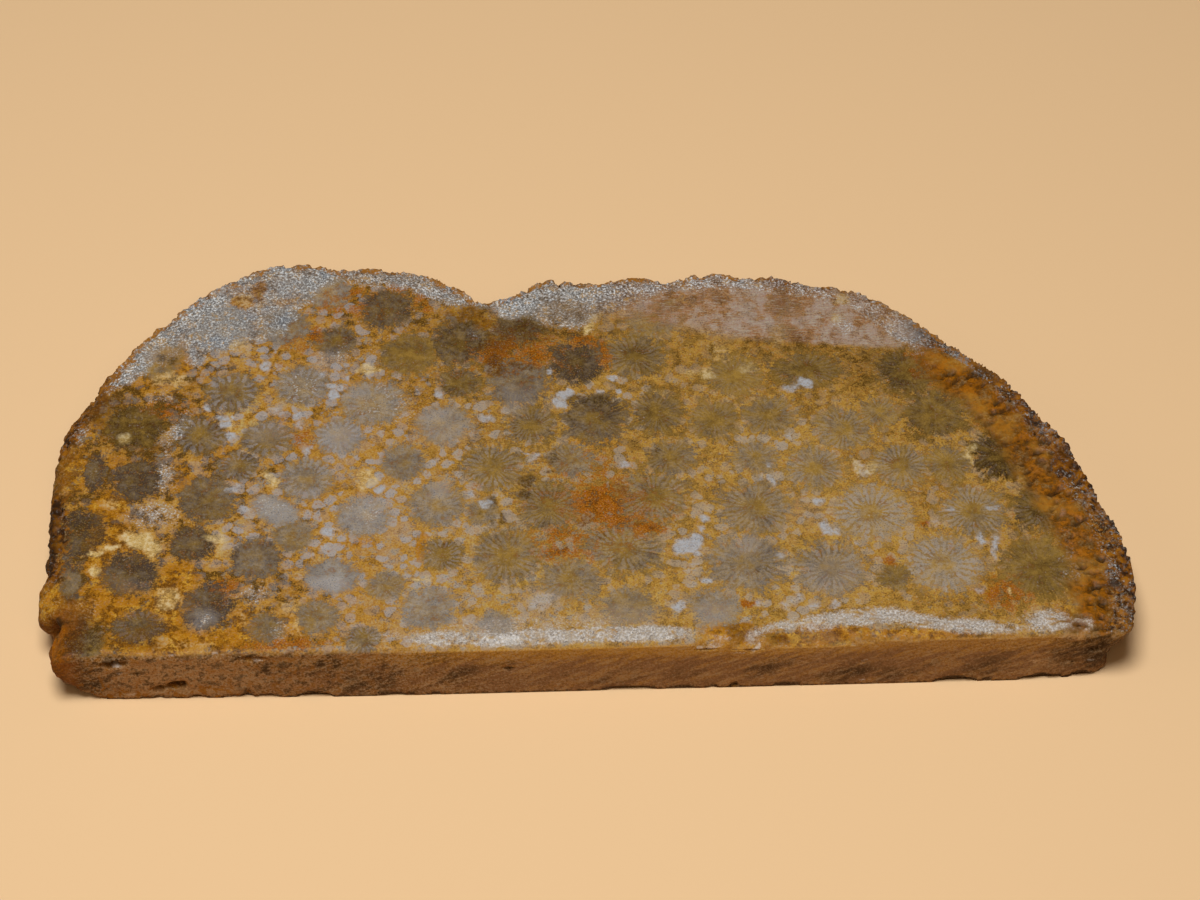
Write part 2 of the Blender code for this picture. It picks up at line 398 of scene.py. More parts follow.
corallites = (
    # x, y, half width, half depth in mm, turn in degrees, then dark, warm and petals, 0 to about 1
    (-54.5, 12, 4.4, 4.4, 0, 0.55, 0.7, 1), (-43.6, 13, 4.4, 4.4, 0, 0.38, 0.45, 0.8),
    (-48.5, 2, 4.2, 4, 0, 0.52, 0.75, 1), (-69, 5, 4.8, 4.6, 0, 0.8, 1.25, 0.1),
    (-59, 3, 4.2, 4, 0, 0.7, 0.8, 0.8), (-38.6, 22.5, 3.5, 3.5, 0, 0.65, 0.7, 0.2),
    (-57, 26, 5, 5, 0, 0.35, 0.1, 0.1), (-47, 26, 4.2, 4.2, 0, 0.45, 0.4, 0.1),
    (-30.7, 29.5, 4.4, 4.6, 0, 0.75, 0.65, 0.1), (-32.5, 9, 5.2, 4.9, 0, 0.36, 0.45, 0.5),
    (-37.6, 2.2, 3.9, 3.9, 0, 0.38, 0.35, 0.9), (-74.5, -4.3, 1.7, 3.6, 0, 0.9, 0.5, 0.1),
    (-68, -6, 4, 4.2, 0, 0.92, 0.55, 0.1), (-57.2, -10.3, 4.3, 4.8, 25, 0.7, 0.65, 0.1),
    (-52.8, -3.6, 3.2, 3, 0, 0.65, 0.65, 0.7), (-75.8, -16.2, 4.2, 4.6, 0, 0.95, 0.7, 0.1),
    (-59, -19, 3.5, 3.5, 0, 0.9, 0.6, 0.1), (-67.8, -24.5, 4.4, 4.4, 0, 0.9, 0.55, 0.1),
    (-49.2, -22, 3.9, 4.2, 0, 0.72, 0.45, 0.2), (-56, -30.8, 4.2, 4.4, 0, 0.92, 0.45, 0.2),
    (-65.6, -34.4, 4, 3.4, 0, 0.92, 0.65, 0.5), (-73, -37.8, 2.4, 2.6, 0, 0.6, 0.95, 0.2),
    (-76.6, -26, 1.6, 5, 8, 0.8, 0.6, 0.1), (-42.3, -6.5, 4.3, 4.3, 0, 0.4, 0.45, 0.7),
    (-46.8, -12.8, 4.3, 2.6, -38, 0.3, 0.1, 0.1), (-37.8, -25.8, 4.2, 3.4, -12, 0.42, 0, 0.1),
    (-33.5, -14.5, 4.1, 4.1, 0, 0.36, 0.25, 0.5), (-44, -17.8, 3.2, 3.2, 0, 0.42, 0.6, 0.1),
    (-47.2, -35.3, 3.2, 2.9, 0, 0.7, 0.65, 0.3), (-39.8, -33.5, 3.4, 3.2, 0, 0.42, 0.6, 0.3),
    (-33, -38, 2.7, 2.6, 0, 0.55, 0.7, 0.6), (-19.2, 21.3, 4.5, 5, 0, 0.77, 0.72, 0.2),
    (-27, 19.2, 4.8, 4.8, 0, 0.48, 1, 0.05), (-19, 12.8, 3.4, 3.4, 0, 0.72, 0.85, 0.3),
    (-9.8, 12.4, 4.8, 4.9, 0, 0.7, 0.36, 0.3), (-0.4, 16.8, 4.6, 4.7, 0, 0.88, 0.5, 0.2),
    (2, 4.6, 5.2, 5.2, 0, 0.74, 0.62, 0.3), (-21.4, 4.2, 4.3, 4.2, 0, 0.42, 0.45, 0.5),
    (-8, 3.4, 4, 4, 0, 0.6, 0.8, 0.6), (8.6, 18, 4.8, 4.8, 0, 0.6, 0.8, 0.5),
    (11.6, 5.6, 4.2, 4.6, 0, 0.68, 0.9, 0.4), (-27.6, -3.7, 3.6, 3.6, 0, 0.5, 0.4, 0.2),
    (-22.4, -12.3, 4.3, 4.3, 0, 0.42, 0.45, 0.5), (-14, -5, 4.8, 4.8, 0, 0.52, 0.8, 0.8),
    (-21.6, -22.2, 3.2, 3.2, 0, 0.55, 0.85, 0.8), (-11.9, -22.8, 5.5, 5.6, 0, 0.48, 0.75, 0.6),
    (-5.6, -13.2, 4.8, 4.8, 0, 0.6, 0.8, 0.6), (-2, -4, 3.4, 3.4, 0, 0.5, 0.5, 0.5),
    (-23.6, -32.4, 4.1, 4.1, 0, 0.36, 0.2, 0.2), (-2.8, -27.6, 4.6, 4.4, 0, 0.45, 0.55, 0.5),
    (10.4, -11.8, 5.5, 5.2, 0, 0.52, 0.8, 0.7), (5.4, -22, 6.4, 4.6, -20, 0.5, 0.7, 0.8),
    (18.6, -33.4, 3.8, 3.6, 0, 0.42, 0.3, 0.3), (13.4, -3.8, 3.9, 3.8, 0, 0.55, 0.7, 0.4),
    (-13.6, -35.6, 2.9, 2.4, 0, 0.4, 0.3, 0.1), (5.6, -33, 4.2, 3.6, 0, 0.35, 0.55, 0.1),
    (23.6, -25.2, 5.8, 5.6, 0, 0.48, 0.4, 0.6), (25.6, -14.4, 5.6, 5.4, 0, 0.5, 0.6, 0.7),
    (36, -26.6, 5.3, 5.2, 0, 0.45, 0.5, 0.9), (43, -16, 5.6, 5.6, 0, 0.12, 0.55, 1),
    (52.8, -26.2, 5.5, 5.4, 0, 0.18, 0.45, 1), (58.4, -16.2, 4.9, 5, 0, 0.42, 0.7, 0.9),
    (66.8, -27.4, 5.8, 5.8, 0, 0.56, 1, 0.15), (64, -4.8, 5, 4.9, 0, 0.88, 1.15, 0.3),
    (68.8, -16, 4.6, 4.6, 0, 0.72, 0.95, 0.4), (54.6, 4, 5, 5, 0, 0.7, 0.95, 0.2),
    (35.2, -6.6, 4.5, 4.5, 0, 0.38, 0.65, 0.7), (48.3, -6.6, 4.5, 4.4, 0, 0.4, 0.7, 0.7),
    (40.2, 1.2, 4.6, 4.4, 0, 0.42, 0.7, 0.6), (55.6, -6.4, 3.8, 3.8, 0, 0.45, 0.85, 0.4),
    (71, -4.8, 4.4, 4.6, 0, 0.6, 1, 0.8), (45.4, -28.6, 2.8, 2.4, 0, 0.55, 0.8, 0.2),
    (35.4, 14, 5.6, 3.8, 0, 0.6, 0.95, 0.3), (51, 13, 4.8, 4.6, 0, 0.72, 1, 0.2),
    (26.4, -4.4, 3.6, 3.6, 0, 0.38, 0.6, 0.4), (46, 4.6, 3.2, 3.2, 0, 0.42, 0.75, 0.4),
    (29, 4.4, 4.4, 4, 0, 0.42, 0.75, 0.4), (20.4, 3.8, 4.2, 4.2, 0, 0.48, 0.9, 0.3),
    (24, 13, 4.6, 4.4, 0, 0.42, 0.95, 0.3), (-9.4, 24.8, 4, 3.4, 0, 0.85, 0.7, 0.1),
    (-66.5, 20, 4.6, 4.6, 0, 0.36, 0.8, 0.1), (-40.5, 34, 4, 4, 0, 0.45, 0.5, 0.3),
    (12, 26, 4.6, 4.4, 0, 0.45, 0.7, 0.2), (31, 26, 5, 4.6, 0, 0.45, 0.7, 0.2),
    (-29.8, -28, 3, 2.8, 0, 0.35, 0.6, 0.3), (-15.6, -14, 2.6, 2.6, 0, 0.42, 0.6, 0.2),
    (75, -24, 3.4, 4.6, 0, 0.55, 1, 0.5), (62.5, 5.5, 3.6, 3.6, 40, 0.6, 1, 0.4),
)
matrixTone = (
    # x, y, then dark, warm, and how plain the small cells show
    (-74, 0, 0.8, 0.9, 0.1), (-75, -20, 0.8, 0.9, 0.1), (-76, -31, 0.85, 0.8, 0),
    (-64, -14, 0.55, 0.9, 0.2), (-64, 8, 0.7, 0.9, 0.2), (-63, -4, 0.62, 0.8, 0.3),
    (-60, -38, 0.45, 1, 0.1), (-71, -36, 0.75, 0.95, 0), (-50, -28, 0.6, 0.8, 0.2), (-48, 5, 0.27, 0.76, 1),
    (-50, 20, 0.48, 0.8, 0.8), (-48, -16, 0.42, 0.7, 1), (-44, -34, 0.45, 0.8, 0.3),
    (-36, 16, 0.48, 0.7, 0.9), (-40, 29, 0.5, 0.85, 0.8), (-36, -20, 0.32, 0.7, 1), (-28, -8, 0.3, 0.66, 1),
    (-26, -26, 0.28, 0.6, 0.9), (-24, 28, 0.55, 0.85, 0.4), (-15, -30, 0.26, 0.62, 0.7),
    (-14, 4, 0.45, 0.8, 0.8), (-4, 22, 0.6, 0.95, 0.1), (0, -36, 0.3, 0.7, 0.5), (4, 10, 0.42, 0.95, 0.8),
    (6, -28, 0.36, 0.85, 0.5), (16, -20, 0.35, 0.8, 0.7), (20, 8, 0.42, 0.95, 0.3), (26, 18, 0.5, 1, 0.05),
    (38, 17, 0.62, 1, 0), (47, 13, 0.6, 1, 0), (30, -2, 0.33, 0.9, 0.9), (30, -33, 0.34, 0.85, 0.8),
    (44, 8, 0.45, 1, 0.2), (46, -22, 0.35, 0.95, 0.6), (58, -34, 0.42, 1, 0.2), (60, -10, 0.45, 1, 0.4),
    (60, 12, 0.6, 1, 0.1), (72, -12, 0.6, 1, 0.1), (76, -30, 0.6, 1, 0.1),
)
blots = {
    # for each stain: x, y, half width, half depth in mm, turn in degrees, strength
    "rust": (
        (2.5, -12.5, 5, 3.4, 0, 0.9), (5.5, -16.5, 5.4, 1.9, -12, 0.8), (-3.2, -18.6, 3, 1.4, 0, 0.6),
        (3, -13, 9, 6.5, -20, 0.42), (-2, -20, 7, 3.4, 0, 0.4), (-9.5, 19.5, 7, 5, 0, 0.42),
        (2, -5.4, 3.4, 3, 0, 0.35), (-45, 22, 3, 4, 0, 0.25), (-37, 31, 5, 3.4, 0, 0.35),
        (-4.6, -22.2, 2.8, 1, 15, 0.8), (9.6, -18, 2.4, 1.4, 0, 0.8), (0.4, -20.6, 1.6, 1.2, 0, 0.5),
        (-13.6, 19.4, 2.4, 2.8, 0, 0.85), (-10.4, 21.2, 2.4, 1.3, 0, 0.75), (-7.2, 18.4, 2.8, 2.4, 0, 0.65),
        (3.6, 18.6, 1.1, 3, 12, 0.8), (0.6, 21.8, 2.6, 1.1, -28, 0.8), (-41.7, 24.2, 1, 1.5, 0, 1),
        (-39.2, 32.6, 2.4, 2.2, 0, 0.55), (-28.4, 34.2, 1.7, 1.5, 0, 0.6), (-25, 31, 1.4, 2.6, 0, 0.5),
        (51, -18.7, 0.6, 0.8, 0, 0.9), (61.6, -32.4, 2.8, 3, 0, 0.65), (54.6, 14.2, 3.2, 3.6, 0, 0.6),
        (60, 9.6, 3, 2.6, 0, 0.5), (-43.4, 2.4, 1.8, 2.6, 0, 0.5), (-35.8, 33.2, 1.4, 1.6, 0, 0.5),
        (-77.2, -37, 3.4, 5, 0, 1), (45, -25.6, 0.9, 0.7, 0, 0.7), (23.6, -32.8, 0.8, 0.6, 0, 0.7),
        (-42.2, -37.6, 1.2, 0.8, 0, 0.8), (64.6, 3.4, 3.2, 3.2, 0, 0.6), (71.6, -4.6, 3.2, 2.4, 0, 0.4),
        (-64.6, 8.4, 3.2, 1.6, 0, 0.5), (-44, -38.6, 6, 1, 0, 0.6), (-53.6, -27.4, 2.4, 2, 0, 0.5),
        (12.4, 27, 3, 2.2, 0, 0.4), (32.4, 33.6, 1.8, 1.6, 0, 0.9), (39, 31.8, 2, 0.8, 0, 0.9),
    ),
    "amber": (
        (-70.5, -30, 5, 4, 0, 0.9), (-62.5, -37.2, 8, 2.6, 0, 0.9), (-51.5, -37.6, 5, 2.4, 0, 0.8),
        (-71.5, -17.2, 4.2, 3, 0, 0.8), (-71.8, -11.4, 2.6, 3, 0, 1.2), (-60.6, -26.6, 3, 5, 0, 0.8),
        (-67.2, -19.2, 5, 2.2, -20, 0.7), (-78, -4, 2.4, 5, 0, 0.6), (-71.5, -2.4, 1.6, 2.2, 0, 0.5),
        (-66, -37.6, 3, 1.6, 0, 0.6), (-50.8, -34.4, 1.8, 3.6, 0, 0.8), (-43.6, -35.6, 1.8, 4, 10, 0.6),
        (-61.8, -31.6, 3.6, 4.6, 0, 0.8), (-72.6, -22.6, 2, 5, 0, 0.8), (-18.4, 28, 3.6, 1.5, -12, 0.6),
        (-15.4, 26, 1.6, 2, 0, 0.7), (-79, -28.6, 1.8, 2.8, 0, 1.2), (-66, 14.2, 4.6, 2.6, 0, 0.5),
        (-74.8, 6, 1.8, 4, -30, 0.5), (-54, 31.8, 2, 1.4, 0, 1.1), (-63, 19.4, 1.6, 3.4, 10, 0.9),
        (-51.4, 34, 1.2, 2.4, 0, 0.9), (-56, 34.8, 3.4, 1.8, -20, 0.5), (-66, 20, 3, 2.2, 0, 0.8),
        (-49.6, 26.6, 0.9, 3, 0, 0.5), (-47.4, 31.6, 1.6, 0.8, 0, 0.4), (-70, 22.4, 2.4, 1, 50, 0.5),
        (-54, 22.6, 1.6, 1.8, 0, 0.5), (57.6, 13, 3.4, 4, 0, 0.6), (63.4, 6.4, 3.4, 3.4, 0, 0.7),
        (70, -2.6, 3.6, 3.2, 0, 0.8), (76, -22, 3, 6, 0, 0.8), (76.4, -34, 2.8, 5, 0, 0.8),
        (71.4, -36.4, 3.2, 2, 0, 0.6), (73.4, -12.8, 1.8, 3, 0, 0.7), (1.6, -0.4, 4, 1.2, 0, 0.4),
        (-46, 4.2, 2, 3.8, 0, 0.5), (-34, -19.6, 2.6, 1.2, 0, 0.5), (-24.6, -20.4, 1, 3, 0, 0.6),
        (13, 10.2, 2.4, 1.8, 0, 0.3), (-54.6, -1, 1.6, 3, 30, 0.4), (-61.2, -5.6, 1.8, 3.6, 0, 0.5),
        (58.8, -31.6, 2, 2, 0, 0.5), (33, -38.6, 7, 1.3, 3, 1), (48, -39.2, 10, 0.9, -3, 0.8),
        (21, -38.4, 4.6, 1.8, 0, 0.8), (44, 30, 5, 2.4, -25, 0.6), (51, 24, 5, 2.4, -40, 0.7),
        (16, 29.5, 3.6, 2.4, 60, 0.5),
    ),
    "cream": (
        (-66.8, -18, 2.8, 1.5, -20, 1), (-71.6, -10.6, 1.6, 1.1, 0, 0.42), (-64.6, -19.8, 1.4, 1.4, 0, 0.9),
        (-73.6, -20.6, 1.4, 0.7, 15, 1), (-71.2, -19.2, 1.6, 0.6, 25, 0.8), (-73, -24, 0.9, 1.3, 0, 0.9),
        (-61.8, -29.4, 1.8, 2.6, 0, 0.6), (-55.3, -17.6, 1.7, 1.2, 0, 0.7),
        (-54.6, -19.8, 0.8, 1.6, 0, 0.4), (-47.6, -6.4, 0.9, 2.2, 20, 0.7), (-33.4, -6.8, 1.8, 2.2, 0, 0.6),
        (-33.2, 16.2, 1.8, 1.4, 0, 0.7), (41.6, -7, 0.9, 2, 0, 0.55), (43.6, -7, 0.9, 1.6, -15, 0.6),
        (-43.6, -31.6, 1.6, 1.6, 0, 0.4), (-42.8, -35, 0.6, 1.6, 0, 0.5), (-53.9, 22.4, 1.7, 1.3, 0, 0.5),
        (-53.4, 32.4, 1.6, 1.4, 0, 0.4), (-64.4, 15, 3.2, 1.6, 0, 0.5), (19.8, 13.4, 1.6, 1, 0, 0.6),
        (22.2, 18.4, 1.6, 2.2, 0, 0.35), (26.4, 14.4, 1.6, 1.2, 0, 0.4), (17.2, 14.2, 1.2, 0.8, 0, 0.5),
        (-70.4, 2.6, 1.2, 1.3, 0, 0.6), (1.6, 24.2, 0.5, 2, -25, 0.8), (2.6, 26.4, 1.6, 0.5, 20, 0.4),
        (42.5, 29.6, 1.4, 1.4, 0, 0.7), (41.5, 25, 0.9, 1.1, 0, 0.7), (59.2, -4.4, 0.7, 2.2, -15, 0.6),
        (-61.5, -37.6, 2, 1, 0, 0.3), (-57.6, -38.4, 3, 0.8, 0, 0.3), (-50.8, -33.4, 1, 2, 0, 0.3),
        (31.6, 22, 1.4, 2.4, -15, 0.4), (15.4, 29.6, 2.2, 0.9, 30, 0.4), (-54.4, 5.2, 0.7, 1.6, 0, 0.5),
        (61.8, -31.8, 0.6, 0.5, 0, 0.8), (62.2, -34, 0.4, 0.8, 0, 0.6), (-24.2, -26.9, 1.6, 0.7, 0, 0.5),
        (12.6, 10, 1.2, 0.8, 0, 0.4),
    ),
    "chalcedony": (
        (35.2, 11.2, 1, 1.3, 25, 0.8), (33, 10.4, 2, 0.8, 25, 0.5), (42.4, -7, 1.7, 1.8, 0, 0.3),
        (15.2, -21.4, 1.9, 1.6, 20, 1), (16.4, -19.9, 0.8, 0.9, 0, 0.9), (17.2, -28.2, 0.9, 0.7, 0, 0.8),
        (16.4, -23.3, 0.6, 0.5, 0, 0.7), (15.2, -26.5, 0.9, 1, 0, 0.4), (15.8, -25, 0.7, 0.6, 0, 0.4),
        (18, -16.4, 0.7, 0.8, 0, 0.7), (17.4, -18.3, 0.4, 0.6, 0, 0.6), (35.8, -18.8, 1, 1.4, 0, 0.7),
        (37.6, -19.4, 0.8, 1, 0, 0.6), (35, -13.3, 1, 0.8, 0, 0.6), (28.3, -8.8, 0.6, 1.2, 20, 0.6),
        (13.2, -32.9, 0.8, 1.2, 0, 0.7), (58.8, -21.9, 0.7, 1.2, 0, 0.7), (60.8, -23.2, 0.6, 2.6, -8, 0.6),
        (15.4, -29.2, 0.5, 0.5, 0, 0.5), (-2.8, 9.8, 1.2, 1, 0, 0.7), (-1.6, 10.8, 0.7, 0.9, 0, 0.9),
        (-3.5, 8.2, 1.1, 0.8, 0, 0.8), (5.6, 10.4, 0.7, 1, 20, 0.7), (3.2, 10.2, 0.7, 0.9, 0, 0.5),
        (-38.8, 12.7, 1.1, 0.9, -20, 0.9), (-38.6, 10.8, 0.9, 0.7, -30, 0.8),
        (-36.6, 14.4, 0.5, 0.6, 0, 0.6), (-40.4, 15.2, 0.8, 0.8, 0, 0.6), (-55.4, 5, 0.8, 0.7, 20, 0.9),
        (-54.6, 6.2, 0.5, 0.7, 0, 0.8), (-56, 6.8, 0.7, 0.7, 0, 0.7), (-57.8, 8.6, 0.7, 0.9, 20, 0.7),
        (-54.2, 2.5, 0.9, 0.6, 0, 0.7), (-47.6, 7.6, 1.4, 1.2, 20, 0.5), (-44.4, 6.8, 0.9, 0.8, 0, 0.6),
        (-43.8, 4.6, 0.9, 1.1, 0, 0.5), (-42.2, -0.6, 0.7, 0.9, 0, 0.6), (-38.4, -17.6, 1.5, 0.8, 30, 0.6),
        (-39.2, -20.4, 0.6, 0.7, 0, 0.6), (-40.8, -21.8, 0.5, 0.6, 0, 0.5), (-15, -12.4, 1.2, 0.9, 0, 0.7),
        (-17, -10.2, 0.6, 0.8, 0, 0.6), (-15, 5.2, 1.2, 0.9, 0, 0.6), (-22.8, -3.4, 0.7, 1, -30, 0.5),
        (-30.8, -8.8, 0.5, 1, -25, 0.6), (-9, -2, 0.6, 0.4, -30, 0.6), (-7.4, -3.2, 1.2, 0.8, 25, 0.5),
        (6, -5, 1, 1, 0, 0.5), (-53.4, -8.2, 0.9, 0.8, 0, 0.6), (-51.6, -12.2, 0.7, 0.6, 0, 0.5),
        (-49.6, 17.4, 0.7, 1.2, 15, 0.6), (-48.3, 20.9, 0.6, 0.6, 0, 0.5), (-25.4, 11.2, 0.7, 1, 0, 0.5),
        (-22.2, 10.4, 0.6, 1, 25, 0.6), (5.4, 13, 0.6, 0.6, 0, 0.6), (-5, 14.8, 0.5, 0.5, -30, 0.7),
        (71.9, -16.5, 0.6, 0.7, 0, 1), (-7, -31.6, 2.4, 1.6, 0, 0.4), (-17.6, 26.6, 0.4, 0.3, 0, 0.5),
        (28.8, -33.6, 1, 1.4, 0, 0.4), (30.4, -32.4, 0.7, 1.4, -10, 0.5), (32.8, -34, 1, 1, 0, 0.5),
        (35.8, -33.6, 0.9, 1, 0, 0.5), (24.6, -33.2, 0.6, 0.9, 0, 0.5), (28.6, -23.8, 0.9, 0.9, 0, 0.5),
        (40.4, -21.6, 0.7, 0.8, 0, 0.5), (57.6, -31.6, 0.7, 1.2, -20, 0.4), (54.8, -15.8, 0.9, 0.5, 0, 0.6),
        (61.4, -15.6, 1.2, 0.4, 0, 0.6), (32, -0.4, 0.9, 0.9, 0, 0.4), (26.8, -8.2, 0.6, 0.9, -20, 0.4),
        (28.2, -6, 0.5, 0.6, 0, 0.5), (52.4, -18.4, 1.4, 1, 0, 0.3),
    ),
    "umber": (
        (-13.2, 22.6, 3.4, 3.6, 0, 0.6), (-8.8, 24.6, 4.4, 2.6, 0, 0.48), (-17.6, 26.8, 4, 2.6, -12, 0.65),
        (-15, 29.6, 1.4, 1.2, 0, 0.7), (-73.4, 7.6, 3, 3.6, 0, 0.5), (-69, 4, 4.6, 4, 0, 0.4),
        # the oval at x -78, y -33.4 is painted shade in the cleft between the two front left knobs
        (-66, 1, 3.4, 3, 0, 0.4), (-73.8, -36.8, 3, 4, 0, 0.8), (-78, -33.4, 2.2, 0.9, 0, 1),
        (-51.1, 33.9, 0.6, 1.4, 0, 0.7), (-66.2, 19.9, 1, 0.8, 0, 0.9), (-80, -16, 1.2, 7, 0, 0.7),
        (-65.8, -37, 4, 2.2, 0, 0.4), (-13.8, -12, 0.8, 1.6, 20, 0.9), (-12.6, -15.6, 0.7, 1.5, -15, 0.8),
        (-14.2, -16, 0.4, 0.8, 0, 0.9), (-14.9, -14.6, 1.4, 0.35, -20, 0.7),
        (-13.4, 16.6, 1.8, 2.6, 0, 0.7), (-9, 16.2, 2.4, 0.9, -10, 0.6), (-15.2, 21.4, 1.4, 2.6, 0, 0.7),
        (-7.2, 21.4, 2.6, 0.9, 10, 0.5), (1.6, 8.5, 4, 1, -6, 0.8), (-1.6, 27.6, 4, 2, -10, 0.55),
        (-46.6, 36.6, 3, 0.8, 20, 0.3), (0, -16.2, 2, 0.9, 20, 0.5), (5.6, -9.8, 1.4, 1.6, 0, 0.4),
        (-8.6, -8, 1.6, 1.4, 0, 1), (-9.4, -10.6, 1.2, 1.1, 0, 0.9), (-5, -3.2, 0.9, 2, 0, 0.6),
        (-5.2, -6.2, 0.8, 0.5, 0, 0.7), (-49.6, -9.6, 1, 0.5, 0, 0.7), (-44.8, -20.8, 0.7, 0.3, -20, 0.8),
        (-45.2, -25.6, 0.4, 1.8, 0, 0.6), (-64.4, 19, 1, 1, 0, 0.7), (-57, 34.4, 1, 0.8, 0, 0.4),
        (-72.6, 11.2, 1.2, 1, 0, 0.6), (9.6, -17.8, 0.8, 0.7, 0, 0.7), (7.8, -16.8, 0.7, 0.4, 0, 0.6),
        (63, 12.4, 2, 1.6, -40, 0.7), (59, 19.4, 1.2, 1, -40, 0.5), (63, 2.6, 1.4, 1.6, 0, 0.4),
        (74.6, -5.2, 1.2, 2.6, 20, 0.5), (74.8, -25.2, 0.9, 1.2, 0, 0.8), (77.2, -30.4, 1, 1.2, 0, 0.7),
        (76.2, -36.4, 1, 0.9, 0, 0.6), (33, 14.6, 1.4, 0.7, 30, 0.6), (48.4, 15.6, 3.6, 2.6, 0, 0.4),
        (31, -38.6, 4.4, 0.9, 4, 0.5), (22.6, -38.2, 3, 1, 0, 0.5), (52.6, 10.8, 3.4, 2, 0, 0.4),
        (3.2, 7.6, 3.6, 1, -10, 0.5), (-1.4, 5.4, 0.9, 2.6, -20, 0.4), (31.4, -22.8, 0.8, 0.8, 0, 0.5),
        (25.6, -26.4, 0.8, 0.7, 0, 0.6), (16, -31.8, 1, 1, 0, 0.4), (11.4, -2.6, 1, 1.2, 0, 0.5),
        (2.2, -19.4, 1, 0.9, 0, 0.5), (4.4, -24.2, 0.8, 0.5, 0, 0.5), (-3.4, -21.4, 1.4, 0.5, 10, 0.6),
        (56.8, -11.6, 2, 1, 0, 0.3), (66.6, -7.8, 2.2, 1, 0, 0.5), (67.4, -13.8, 1.8, 0.8, 0, 0.5),
        (71.8, -11.2, 1, 0.6, 0, 0.7),
    ),
    "haze": (
        # milky blue-white clouds in the chalcedony
        (-38.6, -27.4, 3, 1.4, -10, 0.8), (-56.4, -33.4, 1.8, 2.2, 0, 0.5), (-67, -26.6, 2.4, 1, -20, 0.15),
        (53, 22, 3.4, 2.2, -40, 0.9), (-46.8, -12.6, 3.6, 2, -38, 0.5), (-37.2, 1.8, 2.8, 2.4, 0, 0.6),
        (-37, -1.4, 0.7, 1.8, 0, 0.6), (-42, -9.4, 1.6, 0.8, 0, 0.6), (-22.4, 6.2, 3.4, 1, 20, 0.5),
        (-21.2, 3, 4, 3.4, 0, 0.3), (-33.4, -14, 3.2, 3.2, 0, 0.4), (-27.8, -17.4, 1.8, 2, 0, 0.4),
        (-22, -9.4, 1.6, 1.6, 0, 0.5), (-7.4, -31.8, 2.4, 2.6, 0, 0.4), (17.8, -34.6, 3, 2, 0, 0.4),
        (4.4, -34.6, 6, 2, 0, 0.3), (-15, -36, 4, 1.6, 0, 0.4), (24, -21.6, 1.6, 1.6, 0, 0.4),
        (-29.6, -22, 1.4, 2.4, 20, 0.3), (33.4, -15.4, 3, 3, 0, 0.2), (35.6, -28.4, 4.4, 3.4, 0, 0.25),
        (-48.8, 3.4, 3, 2, 0, 0.3), (-40, 18.4, 2.4, 2, 0, 0.55), (-10.4, 29.4, 3.4, 2.2, 0, 0.9),
        (-60, 33, 6, 3, 40, 0.7), (-70, 20, 4, 2.6, 50, 0.7), (3, 32.2, 5, 1.8, 0, 0.8),
        (-45, 35.4, 4, 2, 0, 0.6), (-9.6, 10, 2.4, 2.2, 0, 0.3), (-10.8, 7.4, 1.6, 1.8, 0, 0.3),
        (-35, 11.6, 1.6, 1.8, 0, 0.3),
    ),
    "frost": (
        # the dry, sugary patches away from the back rim
        (-62.4, 5, 1.3, 2.8, -15, 0.7), (-64, 0.6, 1, 2.2, 10, 0.5), (-63.8, -5.4, 1.3, 3.6, 8, 0.65),
        (-65.4, -13, 4, 2, -8, 0.65), (-68.6, -11.8, 1.6, 1.2, 0, 0.45), (-49.2, -29, 2.2, 1.4, 15, 0.65),
        (-74.2, -31.6, 2.2, 2.6, 0, 0.5), (-56.4, -33.6, 0.9, 1.4, 0, 0.6), (-45.4, -36, 1.8, 1.6, 0, 0.5),
        (-30.6, 8.8, 4.6, 4, -40, 0.35), (-43.2, 13.4, 3.4, 3.6, 0, 0.35), (-38.2, 18.6, 3, 2.2, 0, 0.4),
        (-33.4, -14, 3.4, 3.4, 0, 0.3), (-47, -12.4, 2.6, 1.8, -38, 0.4), (-16.2, 23.6, 1, 1.8, 30, 0.5),
        (-77.8, 3.6, 1, 3.4, -15, 0.8), (-65.6, 11.2, 2.6, 1.2, 0, 0.5), (72.4, -27.4, 1.6, 2.6, 0, 0.4),
        (72, -21.6, 0.8, 2.4, 10, 0.6), (79, -21, 1, 3.6, 10, 0.45), (77.4, -28.2, 2.2, 1.4, 0, 0.4),
        (78, -16, 0.9, 2.2, 20, 0.8), (42.2, 23.6, 1.6, 1.8, 0, 0.6), (-57, -36, 0.6, 1, 0, 0.4),
    ),
    "rubbedHighlight": (
        # rubbed strips along the front edge's slope, partly their own pale colour and partly a painted
        # highlight where the slope catches the light
        (-21, -38, 5, 1.1, 0, 0.9), (-13, -38.4, 4, 1, 0, 1.5), (-7, -38, 6, 1.2, 0, 1),
        (2, -38, 8, 1.2, 0, 1.05), (9.6, -38, 5, 1.2, 0, 1.05), (-29, -37.4, 3, 0.9, 0, 0.3),
        (28, -37.2, 3.4, 0.8, 14, 0.6), (34, -36.4, 4, 1.3, 8, 0.7), (41, -35.9, 6, 1.5, 2, 0.85),
        (48, -36.9, 5, 1.3, -14, 0.8), (55, -38.1, 5, 1.2, -6, 0.95), (60.4, -38.6, 2.4, 0.9, 0, 0.6),
        (67, -37.6, 3.6, 1.9, 0, 0.75), (71.4, -38, 2.4, 1.5, 0, 0.6), (18.4, -39.4, 2.4, 0.4, 0, 0.3),
        (24, -38.6, 1.2, 0.9, 40, 0.5), (-8, -35.8, 14, 1.4, 0, 0.25),
    ),
}
blotSoftness = {"rust": 0.85, "amber": 0.5, "umber": 0.5, "cream": 0.5, "chalcedony": 0.5, "haze": 0.5}
